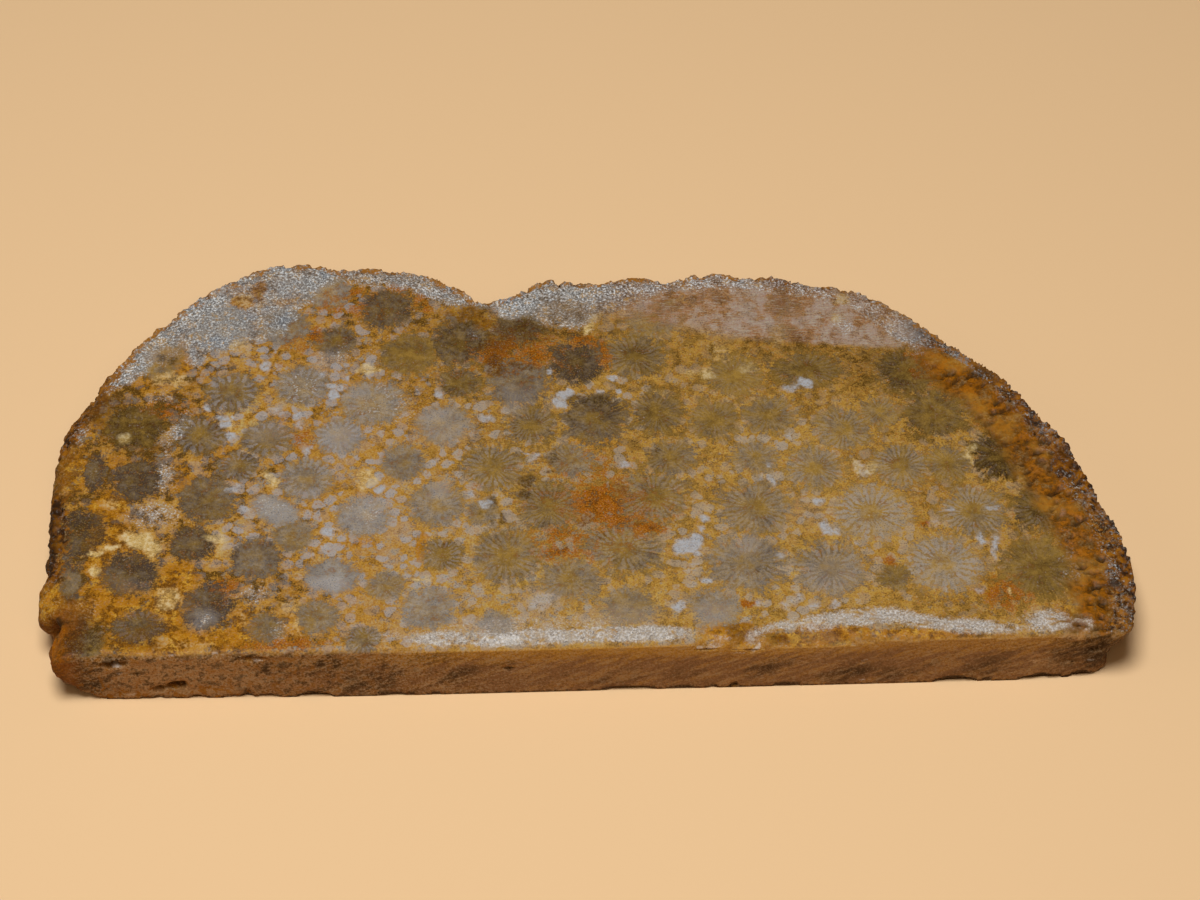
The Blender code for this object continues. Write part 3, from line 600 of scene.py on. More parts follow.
sawnPatches = {
    # on the sawn front: x, z, half width, half height in mm, turn in degrees, strength
    # several dark patches are painted shade: in the front's hollows and at its lower left corner
    "dark": (
        (-47.2, 6.6, 3.2, 1.4, 0, 0.6), (-37.6, 7.2, 3, 1.7, 0, 0.8), (-33, 3.4, 5, 2.4, 8, 0.7),
        (-40.5, 5.4, 4, 2, 0, 0.35), (-24, 7.8, 4.6, 1.2, 10, 0.5), (-19.6, 4, 3.6, 1.4, 25, 0.8),
        (-13, 6.4, 2.4, 1.2, 0, 0.45), (-56, 8.4, 5, 1, 0, 0.25), (-74, 7.4, 3, 2.4, -20, 0.8),
        (-74, 2.6, 4.4, 3, 30, 1), (-30, 5, 4, 2, 0, 0.5), (-69.4, 8.7, 1.6, 0.6, 0, 1.3),
        (-60.7, 3, 1.2, 0.5, 20, 1.2), (-63.4, 2.3, 0.8, 0.4, 0, 1), (-12, 5.3, 0.8, 0.3, 0, 1.4),
        (-49.8, 9.1, 1.4, 0.3, -10, 1), (4, 3, 5, 1.8, 8, 0.5), (-6, 2.6, 5, 1.2, 20, 0.2),
        (14, 3.2, 3.6, 1.4, 6, 0.35), (26, 4.2, 4, 1.8, 22, 0.7), (37.6, 2.6, 4.6, 1.6, 18, 0.8),
        (45, 2, 4, 1.8, 0, 0.6), (51, 4.6, 3.6, 1, 14, 0.5), (58, 3.2, 4.4, 2.2, 18, 0.65),
        (62, 6.8, 3.4, 1, 20, 0.4), (70, 5.4, 3.6, 4, 0, 0.7), (75, 6, 3.6, 4.6, 0, 1.1),
        (21.2, 0.7, 1.2, 0.5, 0, 0.8), (33, 6, 4, 0.8, 22, 0.3),
    ),
    "pale": (
        (-60, 5, 12, 4.4, 0, 0.8), (-53, 3, 6, 2, 0, 0.75), (-66, 5.6, 4, 1.6, 0, 0.7),
        (-64.6, 1, 3.6, 0.9, 0, 1), (-57.6, 2.2, 2.4, 1.2, 0, 0.9), (-70, 6, 4, 0.5, 8, 0.7),
        (-60.6, 5.1, 3, 0.9, 6, 1.3), (-43, 3, 4, 1.6, 0, 0.4), (-52.4, 1.4, 2.4, 0.8, 0, 0.7),
        (-22.4, 3.4, 3.4, 0.4, 26, 0.7), (-21, 2.2, 3, 0.4, 26, 0.5), (4, 4.4, 4.6, 0.5, 12, 0.4),
        (45, 2.4, 4, 0.4, -14, 0.5), (20.6, 1.2, 1.4, 0.8, 0, 0.6), (33.6, 6.6, 3, 1, 30, 0.35),
        (68.8, 3.6, 2.2, 1.2, 0, 0.8), (65.4, 4.6, 0.9, 0.9, 0, 1), (70.4, 9, 1.8, 0.8, -10, 0.7),
        (66, 1.8, 3, 0.4, 0, 0.5),
    ),
    # painted glints where chips and hollows catch the light
    "glint": (
        (-69.2, 7.7, 1, 0.4, 0, 1), (-60.6, 9.7, 0.6, 0.35, 0, 0.6), (-54.7, 10, 0.6, 0.4, 0, 0.8),
        (-48.6, 8.3, 1.2, 0.4, 0, 0.6), (-68.6, 6, 0.8, 0.35, 0, 0.6), (-67.4, 1, 0.8, 0.4, 0, 0.6),
        (17.8, 8.9, 2.2, 0.3, 3, 0.6), (15.8, 8.8, 0.9, 0.35, 0, 0.6), (23.2, 9.8, 0.8, 0.8, 0, 0.9),
        (24.2, 8.4, 1.2, 0.4, 45, 0.9), (21.6, 7.6, 1.2, 0.35, 0, 0.5), (27.6, 9.6, 1.4, 1.2, 0, 0.5),
        (33.2, 8.6, 0.5, 0.4, 0, 0.7), (40, 5.1, 0.8, 0.35, 0, 0.6), (40, 1, 0.6, 0.4, 0, 0.6),
        (77.6, 10, 0.5, 0.6, 0, 1), (73.6, 3.6, 0.9, 0.35, 0, 0.6), (-59.3, 8.7, 0.35, 0.4, 0, 0.6),
    ),
}
frostLine = (
    # x, y in mm: behind this line the top is dry and frosted
    (-82, 16), (-78, 14), (-75, 12), (-72, 13.5), (-70, 15), (-67, 18), (-65, 19), (-63, 20), (-61.5, 17.5),
    (-59.5, 17.5), (-58, 21), (-55, 21.5), (-52, 22.5), (-49, 23.5), (-47, 24.5), (-45, 29), (-43, 31.5),
    (-41, 34.5), (-38, 36.5), (-35, 35.5), (-32, 34.5), (-29, 34.5), (-27, 33.5), (-24, 31.5), (-21, 30),
    (-18, 30), (-15, 29.5), (-13, 28), (-11, 27), (-8, 27), (-6, 25.5), (-3, 24.5), (0, 24), (2, 26),
    (5, 27.5), (8, 29), (12, 31), (16, 32), (24, 32.5), (34, 31.5), (40, 29.5), (44, 27.5), (47, 24),
    (50, 20.5), (53, 17.5), (55, 17.5), (57, 18.5), (60, 16), (63, 13), (66, 9), (70, 3.5), (74, -2),
    (82, -12),
)
rosyLine = (
    # x, y in mm: behind this line, right of the middle, the top is dull and pink-brown
    (0, 26), (8, 24), (14, 22.5), (20, 21.5), (27, 20), (31, 20.2), (36, 19.4), (42, 18.8), (48, 18.2),
    (56, 17),
)


def spread(x, y, marks, soft=0.5):
    # soft-edged ovals laid over each other
    total = np.zeros(len(x))
    for markX, markY, wide, deep, turn, strength in marks:
        c, s = math.cos(math.radians(turn)), math.sin(math.radians(turn))
        across, back = x - markX, y - markY
        apart = np.hypot((across * c + back * s) / wide, (back * c - across * s) / deep)
        total = np.maximum(total, strength * ease(1 + soft, 1 - soft, apart))
    return total


def behindLine(x, y, line):
    # mm that each point lies behind a line across the top
    lineX, lineY = zip(*line)
    return y - np.interp(x, lineX, lineY)


def openRim(x, fromRim):
    # the open, spongy border of the right rim
    return ease(8.0, 5.0, fromRim) * ease(50.0, 58.0, x)


def vugAt(places):
    # 0 to 1, the small holes in the open rim, drawn out toward the edge and the same at every height
    across, back = places[:, 0] - 5, places[:, 1] + 45
    level = np.stack((75 * np.arctan2(back, across), 0.36 * np.hypot(across, back), 0 * back), 1)
    hole = ease(0.05, 0.4, grain(level, 1.15, 40.0)) + 0.7 * ease(0.05, 0.4, grain(level, 2.2, 44.0))
    return np.clip(hole, 0, 1) * ease(-0.35, 0.15, grain(places * (1, 1, 0), 0.3, 52.0))


def frostAt(x, y):
    return np.maximum(ease(-1.6, 2.0, behindLine(x, y, frostLine)), spread(x, y, blots["frost"], 0.9))


def rosyAt(x, y):
    # its edge is sharper toward the right
    reach = ease(0.0, 1.0, behindLine(x, y, rosyLine) / np.interp(x, (10, 30), (6.0, 0.9)))
    return reach * ease(-2.0, 9.0, x) * ease(56.0, 46.0, x)


def leaned(across, heights):
    # the columns lean, so the same coral shows shifted on the underside
    return across + (stone["thick"] - heights)[:, None] * np.array(stone["lean"])


def inCorallite(spots, chosen):
    # each spot's place in its own corallite, whose edge is at 1
    marks = np.array(corallites)
    away = spots - marks[chosen, :2]
    turns = np.radians(marks[:, 4])
    c, s = np.cos(turns[chosen]), np.sin(turns[chosen])
    u = (away[:, 0] * c + away[:, 1] * s) / marks[chosen, 2]
    v = (away[:, 1] * c - away[:, 0] * s) / marks[chosen, 3]
    return u, v


def ownCorallite(mesh):
    # for each face, the corallite whose middle is closest for its size
    centres = np.empty(len(mesh.polygons) * 3)
    mesh.polygons.foreach_get("center", centres)
    centres = centres.reshape(-1, 3) / mm
    centres = leaned(centres[:, :2] - np.array(stone["middle"]), centres[:, 2])
    best = np.full(len(centres), 1e9)
    owner = np.zeros(len(centres), dtype=np.int32)
    for index in range(len(corallites)):
        apart = np.hypot(*inCorallite(centres, np.full(len(centres), index)))
        owner[apart < best] = index
        best = np.minimum(best, apart)
    return owner


def matrixToneAt(flat):
    # the tones between the corallites, blended by distance
    tone = np.zeros((len(flat), 3))
    weight = np.zeros(len(flat))
    for toneX, toneY, *values in matrixTone:
        share = 1 / (4 + (flat[:, 0] - toneX) ** 2 + (flat[:, 1] - toneY) ** 2) ** 1.5
        tone += share[:, None] * np.array(values)
        weight += share
    return tone / weight[:, None]


def putVector(mesh, name, domain, *parts):
    made = mesh.attributes.new(name, "FLOAT_VECTOR", domain)
    made.data.foreach_set("vector", np.ascontiguousarray(np.stack(parts, 1), dtype=np.float32).ravel())


def markCorallites(mesh, swayed):
    # on face corners, so that neighbouring corallites meet without a smear
    corners = np.empty(len(mesh.loops), dtype=np.int32)
    mesh.loops.foreach_get("vertex_index", corners)
    sizes = np.empty(len(mesh.polygons), dtype=np.int32)
    mesh.polygons.foreach_get("loop_total", sizes)
    own = np.repeat(ownCorallite(mesh), sizes)
    u, v = inCorallite(swayed[corners], own)
    marks = np.array(corallites)
    seeds = (marks[own, 0] * 0.317 + marks[own, 1] * 0.713) % 1.0
    putVector(mesh, "corallite", "CORNER", u, v, seeds)
    putVector(mesh, "coralliteTone", "CORNER", *marks[own, 5:8].T)


def markStone(mesh):
    places, normals = spotsOf(mesh)
    under, front, rind = zonesOf(places, normals)[1:]
    x, y, z = places.T
    fromRim = inFromRim(places, rind, 5, 9)
    flat = leaned(places[:, :2], z)
    # two slow wobbles give every mark a ragged outline
    wobble = [0.9 * grain(places, 0.5, shift) + 0.4 * grain(places, 1.4, shift) for shift in (70.0, 90.0)]
    wobble = np.stack(wobble, 1)
    wobbleX, wobbleY = wobble.T
    warpX, warpY = (flat + wobble).T
    markCorallites(mesh, flat + 0.4 * wobble)

    laid = {name: spread(warpX, warpY, blots[name], soft) for name, soft in blotSoftness.items()}
    frost = frostAt(warpX, warpY)
    rosy = rosyAt(*(flat + 0.5 * wobble).T)
    # the rubbed strips along the front edge, whose brightness is partly a painted highlight
    rubbedHighlight = spread(x + 0.5 * wobbleX, y + 0.35 * wobbleY, blots["rubbedHighlight"])
    sawnX, sawnZ = x + 0.4 * wobbleX, z + 0.3 * wobbleY
    sawn = {name: spread(sawnX, sawnZ, patches, 0.6) for name, patches in sawnPatches.items()}
    # painted shade: the small flakes at the foot darkened as their recesses
    sawn["dark"] = np.maximum(sawn["dark"], 2.0 * notchAt(x, z - 0.1))
    putVector(mesh, "matrixTone", "POINT", *matrixToneAt(flat).T)
    putVector(mesh, "bent", "POINT", *(flat + 0.6 * wobble).T, z)
    putVector(mesh, "stains", "POINT", laid["rust"], laid["amber"], laid["umber"])
    putVector(mesh, "lights", "POINT", laid["cream"], laid["chalcedony"], laid["haze"])
    putVector(mesh, "dry", "POINT", frost, rosy, openRim(x, fromRim + wobbleX))
    putVector(mesh, "zones", "POINT", rind, front, under)
    putVector(mesh, "edges", "POINT", fromRim, rubbedHighlight, vugAt(places))
    putVector(mesh, "sawn", "POINT", sawn["dark"], sawn["pale"], sawn["glint"])


slab = stoneMesh()
print("fine mesh", len(slab.data.vertices), "points")
shapeStone(slab)
markStone(slab.data)
print("shaped and marked", len(slab.data.polygons), "faces")

# the stone's finish

finish = {
    "paleCool": "#9b958f", "paleWarm": "#a4803a", "darkCool": "#4a3c34", "darkWarm": "#3b280a",
    "petal": "#98959a", "fibre": "#a08a58", "fleck": "#b5862a",
    "earth": "#573b10", "ochre": "#8e631e", "gold": "#ad7f31", "straw": "#b39c60", "grey": "#8b8378",
    "olive": "#84622a", "honey": "#a78037", "wax": "#b6984e", "vein": "#8f5610", "milk": "#999698",
    "rust": "#8f4f02", "ember": "#5e3606", "flame": "#b87818", "amber": "#a86f0c", "treacle": "#6a4008",
    "umber": "#281808", "gapShade": "#332c26", "lemon": "#c99f40", "cream": "#bfa062", "butter": "#cdb98c",
    "chalcedony": "#a4a8b0", "haze": "#9d999a", "rosy": "#966a48", "rosyDark": "#6a452a",
    # some of the whites and greys here also serve as painted glints and a painted highlight, not only as the
    # stone's colour
    "frost": "#848280", "slate": "#6f7985", "sugarAndGlint": "#d8dadc", "glintWhite": "#d2cfcd",
    "scuffedAndLit": "#9b938c", "scratch": "#a39788",
    "rindBrown": "#6a3f10", "rindDark": "#342010", "rindOchre": "#8f5a10", "web": "#9c5c08",
    "husk": "#ab9266", "rimGold": "#a5702e",
    "sawnOchre": "#ae7a32", "sawnBrown": "#88603c", "sawnDark": "#38250f", "sawnPale": "#b4885a",
    "sawnGlow": "#b38030", "sawnGrey": "#9e866a",
}
pattern = {
    # lumps per millimetre, from the real sizes on such a slab, then the noise's detail and roughness
    "broad": (0.17, 2.0, 0.5),  # 6 mm drifts of tone, wider than half a corallite
    "cloud": (0.5, 3.0, 0.55),  # 2 mm clouds, the width of a small cell
    "crust": (0.75, 3.0, 0.6),  # 1.3 mm clots of rind and matrix
    "fine": (1.7, 4.0, 0.7),  # 0.6 mm mottling, a septum's thickness
    "bump": (1.7, 3.0, 0.7),  # the surface's grain, as wide as the mottling
    "crystal": (2.7, 3.0, 0.75),  # 0.4 mm sugar grains; the real ones are near 0.1 mm and wouldn't show
    "dust": (4.0, 1.0, 0.5),  # 0.25 mm specks, also coarser than the real ones so that they show
}
coral = {
    "fewest": 14,  # septa in a corallite of the left end
    "more": 5,  # how many more the richest has
    "right": 8,  # and how many more toward the right
    "fibres": 12.0,  # about 75 fibres round a corallite: its septa and the hairs between
    "cells": 1 / 1.9,  # small cells per mm between the corallites
}

# agatized coral, sawn and rubbed to a satin: chalcedony keeps the corallites' septa as milky and
# iron-brown streaks, dull and sugary where the cut runs out to the dry rind
material = bpy.data.materials.new("agatized coral chalcedony")
material.use_nodes = True
tree = material.node_tree
tint = {name: colour(value) for name, value in finish.items()}


def read(name):
    # the three numbers of one attribute
    vector = addNode(tree, "ShaderNodeAttribute", attribute_name=name).outputs["Vector"]
    return addNode(tree, "ShaderNodeSeparateXYZ", {0: vector}).outputs


def add(*terms):
    # the sum of outputs, (output, weight) pairs and plain numbers
    total = 0.0
    for term in terms:
        value, weight = term if isinstance(term, tuple) else (term, 1.0)
        inputs = {0: value, 1: weight, 2: total}
        total = addNode(tree, "ShaderNodeMath", inputs, operation="MULTIPLY_ADD").outputs[0]
    return total


def band(start, end, *terms, low=0.0, high=1.0):
    # a soft step from low to high as the sum of the terms goes from start to end
    value = add(*terms) if len(terms) > 1 else terms[0]
    inputs = {0: value, 1: start, 2: end, 3: low, 4: high}
    return addNode(tree, "ShaderNodeMapRange", inputs, interpolation_type="SMOOTHSTEP").outputs[0]


def times(*factors):
    total = factors[0]
    for factor in factors[1:]:
        total = addNode(tree, "ShaderNodeMath", {0: total, 1: factor}, operation="MULTIPLY").outputs[0]
    return total


def less(value):
    # what a share leaves of the whole
    return add(1.0, (value, -1.0))


def lay(under, over, *shares):
    # one paint over another, by the product of the shares
    mixed = {0: times(*shares), 6: under, 7: over}
    return addNode(tree, "ShaderNodeMix", mixed, data_type="RGBA").outputs[2]


# what each point carries
place = addNode(tree, "ShaderNodeTexCoord").outputs["Object"]
inMm = addNode(tree, "ShaderNodeVectorMath", {0: place, "Scale": 1 / mm}, operation="SCALE").outputs[0]
placeX, placeY, height = addNode(tree, "ShaderNodeSeparateXYZ", {0: inMm}).outputs
bent = addNode(tree, "ShaderNodeAttribute", attribute_name="bent").outputs["Vector"]
u, v, seed = read("corallite")
discDark, discWarm, petalShare = read("coralliteTone")
matrixDark, matrixWarm, cellShare = read("matrixTone")
rust, amber, umber = read("stains")
cream, chalcedony, haze = read("lights")
frost, rosy, vuggy = read("dry")
rind, front, under = read("zones")
fromRim, rubbedHighlight, vug = read("edges")
sawnDarkAndShade, sawnLight, glint = read("sawn")

# patterns that run all through the stone
lumps = {}
for name, (perMm, detail, lumpy) in pattern.items():
    inputs = {"Vector": inMm, "Scale": perMm, "Detail": detail, "Roughness": lumpy}
    lumps[name] = addNode(tree, "ShaderNodeTexNoise", inputs).outputs["Fac"]
clouds, crust, crystals = lumps["cloud"], lumps["crust"], lumps["crystal"]
broad = band(0.32, 0.68, lumps["broad"])
cloud = band(0.34, 0.66, clouds)
fine = band(0.32, 0.68, lumps["fine"])
dust = band(0.25, 0.75, lumps["dust"])
mottle = band(0.36, 0.62, crust)
flecks = times(band(0.95, 1.35, fine, (dust, 0.5)), add((mottle, 0.5), (cloud, 0.4), 0.1))
ragged = add((fine, 0.5), (mottle, 0.4), -0.45)
dirt = band(-30.0, -58.0, placeX)  # the weathered left end is blotchier
soft = band(-36.0, -4.0, placeX)  # toward the right the corallites melt into the ground
behind = band(5.0, 24.0, placeY)

# inside a corallite: radial fibres and septa by angle
spoke = addNode(tree, "ShaderNodeCombineXYZ", {0: u, 1: v}).outputs[0]
radius = addNode(tree, "ShaderNodeVectorMath", {0: spoke}, operation="LENGTH").outputs["Value"]
way = addNode(tree, "ShaderNodeVectorMath", {0: spoke}, operation="NORMALIZE").outputs[0]
wayX, wayY = addNode(tree, "ShaderNodeSeparateXYZ", {0: way}).outputs[:2]
outward = add((radius, 1.8), (seed, 57.0))
fibreAt = {0: times(wayX, coral["fibres"]), 1: times(wayY, coral["fibres"]), 2: outward}
fibreAt = addNode(tree, "ShaderNodeCombineXYZ", fibreAt).outputs[0]
fibre = {"Vector": fibreAt, "Scale": 1.0, "Detail": 3.0, "Roughness": 0.6}
fibre = band(0.34, 0.66, addNode(tree, "ShaderNodeTexNoise", fibre).outputs["Fac"])
ray = times(add(fibre, -0.5), band(0.12, 0.45, radius))
count = add((seed, coral["more"]), (soft, coral["right"]), coral["fewest"])
count = addNode(tree, "ShaderNodeMath", {0: count}, operation="ROUND").outputs[0]
angle = addNode(tree, "ShaderNodeMath", {0: v, 1: u}, operation="ARCTAN2").outputs[0]
turn = add(times(angle, count, 1 / math.tau), (fine, 0.2), (cloud, 0.35))
septum = addNode(tree, "ShaderNodeMath", {0: turn}, operation="FLOOR").outputs[0]
septum = addNode(tree, "ShaderNodeCombineXYZ", {0: septum, 1: times(seed, 91.0)}).outputs[0]
chance = addNode(tree, "ShaderNodeTexWhiteNoise", {"Vector": septum}, noise_dimensions="2D").outputs[0]
edge = add(
    radius, (chance, 0.03), (fine, 0.18), (dust, 0.06), times(fibre, add((soft, 0.06), 0.08)),
    times(add(cloud, mottle, -1.0), add((soft, 0.14), 0.08)), (soft, -0.05), -0.16,
)
disc = band(add((soft, 0.08), 1.18), add((discDark, 0.08), (soft, -0.08), 0.74), edge)


def petalsAt():
    # the milky petals between the septa, each of its own length
    aside = add(addNode(tree, "ShaderNodeMath", {0: turn}, operation="FRACT").outputs[0], -0.5)
    along = add(radius, (chance, -0.14), (soft, 0.04), -0.6)
    shape = add(
        times(aside, aside, add((soft, -3.0), 9.5)),
        times(along, along, add((soft, -6.0), 13.0)), (fine, 0.9),
    )
    return times(
        band(1.5, 0.7, shape), band(0.0, 0.6, chance, low=0.3), add((mottle, 0.5), 0.5), petalShare,
        add((soft, -0.1), (discDark, -0.6), 1.1),
    )


def corallitePaint():
    core = band(0.42, 0.08, radius, (fine, 0.3), -0.15)
    tone = add(
        discDark, (broad, 0.22), (cloud, 0.3), (mottle, 0.14), (fine, 0.18), (dust, 0.14), -0.57,
        times(ray, add((discDark, 0.06), (petalShare, -0.06), -0.08)),
        times(radius, add((soft, -0.12), 0.22)), (soft, 0.09),
    )
    hue = add(
        discWarm, (cloud, -0.25), (mottle, 0.35), (fine, 0.25), (dust, 0.1), -0.22, (ray, 0.2), (core, 0.15),
        (soft, 0.13),
    )
    pale = lay(tint["paleCool"], tint["paleWarm"], hue)
    dark = lay(tint["darkCool"], tint["darkWarm"], hue)
    fibreShare = times(band(0.5, 1.0, fibre), add((fine, 0.4), 0.1), add((soft, 0.14), 0.08))
    return lay(lay(pale, dark, tone), tint["fibre"], fibreShare)


def groundPaint():
    # between corallites: ochre, richer on the left, with iron-stained threads round small milky cells
    value = add(
        0.43, (matrixDark, -1.3), (broad, 0.14), (cloud, 0.34), (fine, 0.3), (dust, 0.16), (mottle, 0.3),
        times(ray, band(1.9, 1.1, radius), 0.25), times(dirt, add((mottle, 0.5), (broad, 0.3), -0.4)),
    )
    rich = lay(tint["earth"], tint["ochre"], band(0.0, 0.4, value))
    rich = lay(rich, tint["gold"], band(0.36, 0.7, value))
    rich = lay(rich, tint["straw"], band(0.75, 1.2, value))
    mellow = lay(tint["earth"], tint["olive"], band(-0.1, 0.4, value))
    mellow = lay(mellow, tint["honey"], band(0.36, 0.72, value))
    mellow = lay(mellow, tint["wax"], band(0.7, 1.1, value))
    ground = lay(rich, mellow, add(soft, (mottle, 0.4), -0.2))
    warmth = add(matrixWarm, (cloud, -0.5), (mottle, 0.4), (fine, 0.32), (dust, 0.1), -0.06)
    ground = lay(tint["grey"], ground, band(0.1, 0.9, warmth))
    thread = add(clouds, (crust, 0.4), -0.7)
    thread = addNode(tree, "ShaderNodeMath", {0: thread}, operation="ABSOLUTE").outputs[0]
    ground = lay(ground, tint["vein"], band(0.035, 0.0, thread), add((fine, 0.6), 0.1))
    cells = addNode(tree, "ShaderNodeTexVoronoi", {"Vector": bent, "Scale": coral["cells"]}).outputs
    pick, size = addNode(tree, "ShaderNodeSeparateColor", {0: cells["Color"]}).outputs[:2]
    blob = band(0.52, 0.38, cells["Distance"], (fine, 0.15), (cloud, 0.1), (size, -0.16), -0.045)
    cell = times(blob, band(0.1, 0.5, pick), cellShare)
    return lay(ground, lay(tint["milk"], tint["wax"], soft, 0.22), cell, add((fine, 0.2), 0.72))


def stained(paint):
    # stains and clear spots, with ragged edges
    paint = lay(paint, syrup, band(0.1, 0.8, amber, (ragged, 0.6)), add(1.0, (disc, -0.75)))
    rusted = band(0.1, 0.75, rust, (ragged, 1.1), (cloud, 0.3), (flecks, -0.2), -0.15)
    paint = lay(paint, embers, rusted, add(0.98, (disc, -0.4)))
    browned = band(0.3, 1.3, umber, (ragged, 1.2), (dust, 0.3))
    paint = lay(paint, tint["umber"], browned, 0.8)
    buttery = lay(tint["cream"], tint["butter"], band(0.4, 0.9, (fine, 0.7), (mottle, 0.4)))
    paint = lay(paint, buttery, band(0.1, 1.0, cream, (ragged, 0.5)), 0.9)
    paint = lay(paint, tint["haze"], haze, add((fine, 0.5), 0.3))
    clear = lay(tint["milk"], tint["chalcedony"], band(0.2, 0.7, fine))
    return lay(paint, clear, band(0.1, 0.8, chalcedony, (ragged, 0.4)), 0.9)


def blushed(paint):
    # the pink-brown stretch, with drawn-out scratches about 1.7 mm long and 0.3 mm wide
    blush = lay(tint["rosy"], tint["haze"], band(0.8, 1.4, broad, (cloud, 0.6), (mottle, 0.3)), 0.45)
    shadow = band(0.85, 0.25, broad, (cloud, 0.4), (fine, 0.3))
    blush = lay(blush, tint["rosyDark"], shadow, 0.9)
    paint = lay(paint, blush, rosy, spared, add((mottle, 0.35), (fine, 0.25), 0.45))
    drawn = {0: inMm, "Rotation": (0, 0, 0.25), "Scale": (0.6, 3.0, 3.0)}
    drawn = addNode(tree, "ShaderNodeMapping", drawn).outputs[0]
    scratch = {"Vector": drawn, "Scale": 1.0, "Detail": 3.0, "Roughness": 0.8}
    scratch = addNode(tree, "ShaderNodeTexNoise", scratch).outputs["Fac"]
    scratch = band(0.52, 0.66, scratch, (mottle, 0.06))
    return lay(paint, tint["scratch"], rosy, scratch, add((broad, 0.4), (fine, 0.4), 0.2))


def frosted(paint):
    # dull grey with sugary specks that are partly painted glints, and dark gaps between the grains painted
    # as shade
    cover = band(0.3, 1.1, (mottle, 0.4), (broad, 0.4), (cloud, 0.5), (haze, 0.8))
    nearRim = band(5.0, 1.5, fromRim)
    paint = lay(paint, dull, rime, add((cover, 0.45), (nearRim, 0.15), 0.4), less(times(rosy, 0.5)))
    clots = band(0.62, 0.82, crust, (fine, 0.25), (broad, -0.06))
    paint = lay(paint, tint["fleck"], rime, clots, 0.5)
    # painted shade: darker specks in the gaps between the sugary grains
    shadedGaps = band(0.5, 0.38, crystals, (mottle, 0.06))
    paint = lay(paint, tint["gapShade"], rime, shadedGaps, add((nearRim, 0.3), 0.55))
    # white specks: sugary grains, partly painted glints
    sugarAndGlint = band(0.51, 0.62, crystals)
    return lay(paint, tint["sugarAndGlint"], rime, sugarAndGlint, add((cover, 0.5), (nearRim, 0.35), 0.3))


def rubbedAndHighlit(paint):
    # the rubbed strips along the front edge's slope, lightened by a painted highlight and painted glints,
    # then fine dark and waxy specks over all
    paint = lay(paint, tint["scuffedAndLit"], rubbedHighlightShare, 0.85)
    shine = add(band(0.44, 0.62, crystals), band(1.05, 1.4, rubbedHighlight, high=0.5))
    paint = lay(paint, tint["glintWhite"], rubbedHighlightShare, shine, add((fine, 0.4), 0.45))
    paint = lay(paint, tint["umber"], band(0.4, 0.0, dust), add((mottle, -0.4), 0.5))
    return lay(paint, tint["wax"], band(0.62, 1.0, dust), less(rime), 0.2)


def rimmed(paint):
    # the open right rim: orange web round holes darkened with painted shade, greyer out at the very edge
    # with painted glints
    web = band(0.25, 0.85, (cloud, 0.5), (fine, 0.5), (dust, 0.3))
    web = lay(tint["web"], tint["treacle"], web)
    husk = band(0.46, 0.64, crystals, (fine, 0.1))
    web = lay(web, tint["husk"], band(0.5, 0.62, clouds), husk, 0.35)
    web = lay(web, tint["umber"], band(0.54, 0.64, crust), 0.45)
    web = lay(web, tint["sawnGlow"], band(0.45, 0.9, broad), add((fine, 0.5), 0.1))
    paint = lay(paint, web, vuggy, add((fine, 0.2), 0.8), less(times(rubbedHighlightShare, 0.8)))
    outer = times(vuggy, band(2.2, 0.7, fromRim, (frost, -3.2), (cloud, 0.8), (broad, 0.6)))
    paint = lay(paint, tint["rindDark"], outer, band(0.42, 0.56, crust), 0.85)
    silver = times(outer, band(0.5, 0.66, crystals, (broad, 0.15)))
    paint = lay(paint, dull, silver, 0.9)
    # painted glints: white specks at the very edge of the open rim
    paint = lay(paint, tint["sugarAndGlint"], outer, band(0.58, 0.68, crystals), 0.8)
    # painted shade in the rim's holes
    return lay(paint, tint["umber"], vuggy, vug, add((fine, 0.3), 0.65))


def barked(paint):
    # the rind: dark clots on brown, golden along the back, amber on the two front left knobs, with painted
    # shade in the cleft between them
    bark = lay(tint["rindBrown"], tint["rindDark"], band(0.48, 0.6, crust), less(times(behind, 0.8)))
    bark = lay(bark, tint["rindOchre"], band(0.5, 0.36, crust))
    golden = add(band(8.6, 9.6, height, high=0.5), (cloud, 0.45), (mottle, 0.2))
    bark = lay(bark, tint["rimGold"], behind, golden)
    dusty = band(1.0, 1.5, broad, (cloud, 0.5), (fine, 0.4))
    bark = lay(bark, dull, dusty, behind, band(9.0, 8.0, height), 0.5)
    bark = lay(bark, dull, band(0.75, 0.95, fine), less(rust), less(amber), 0.6)
    bark = lay(bark, embers, rust, 0.95)
    bark = lay(bark, syrup, amber, less(times(rust, 0.7)), band(-70.0, -76.0, placeX), 0.85)
    bark = lay(bark, tint["husk"], add(amber, (rust, 0.3)), band(0.5, 0.66, crystals), 0.65)
    bark = lay(bark, tint["umber"], umber, 0.9)
    brimWide = band(-66.0, -76.0, placeX, high=1.4)
    brim = band(2.9, 1.5, fromRim, (fine, 1.8), (cloud, 1.4), (brimWide, -1.0), (behind, 0.3))
    rindOrBrim = addNode(tree, "ShaderNodeMath", {0: rind, 1: brim}, operation="MAXIMUM").outputs[0]
    return lay(paint, bark, rindOrBrim)


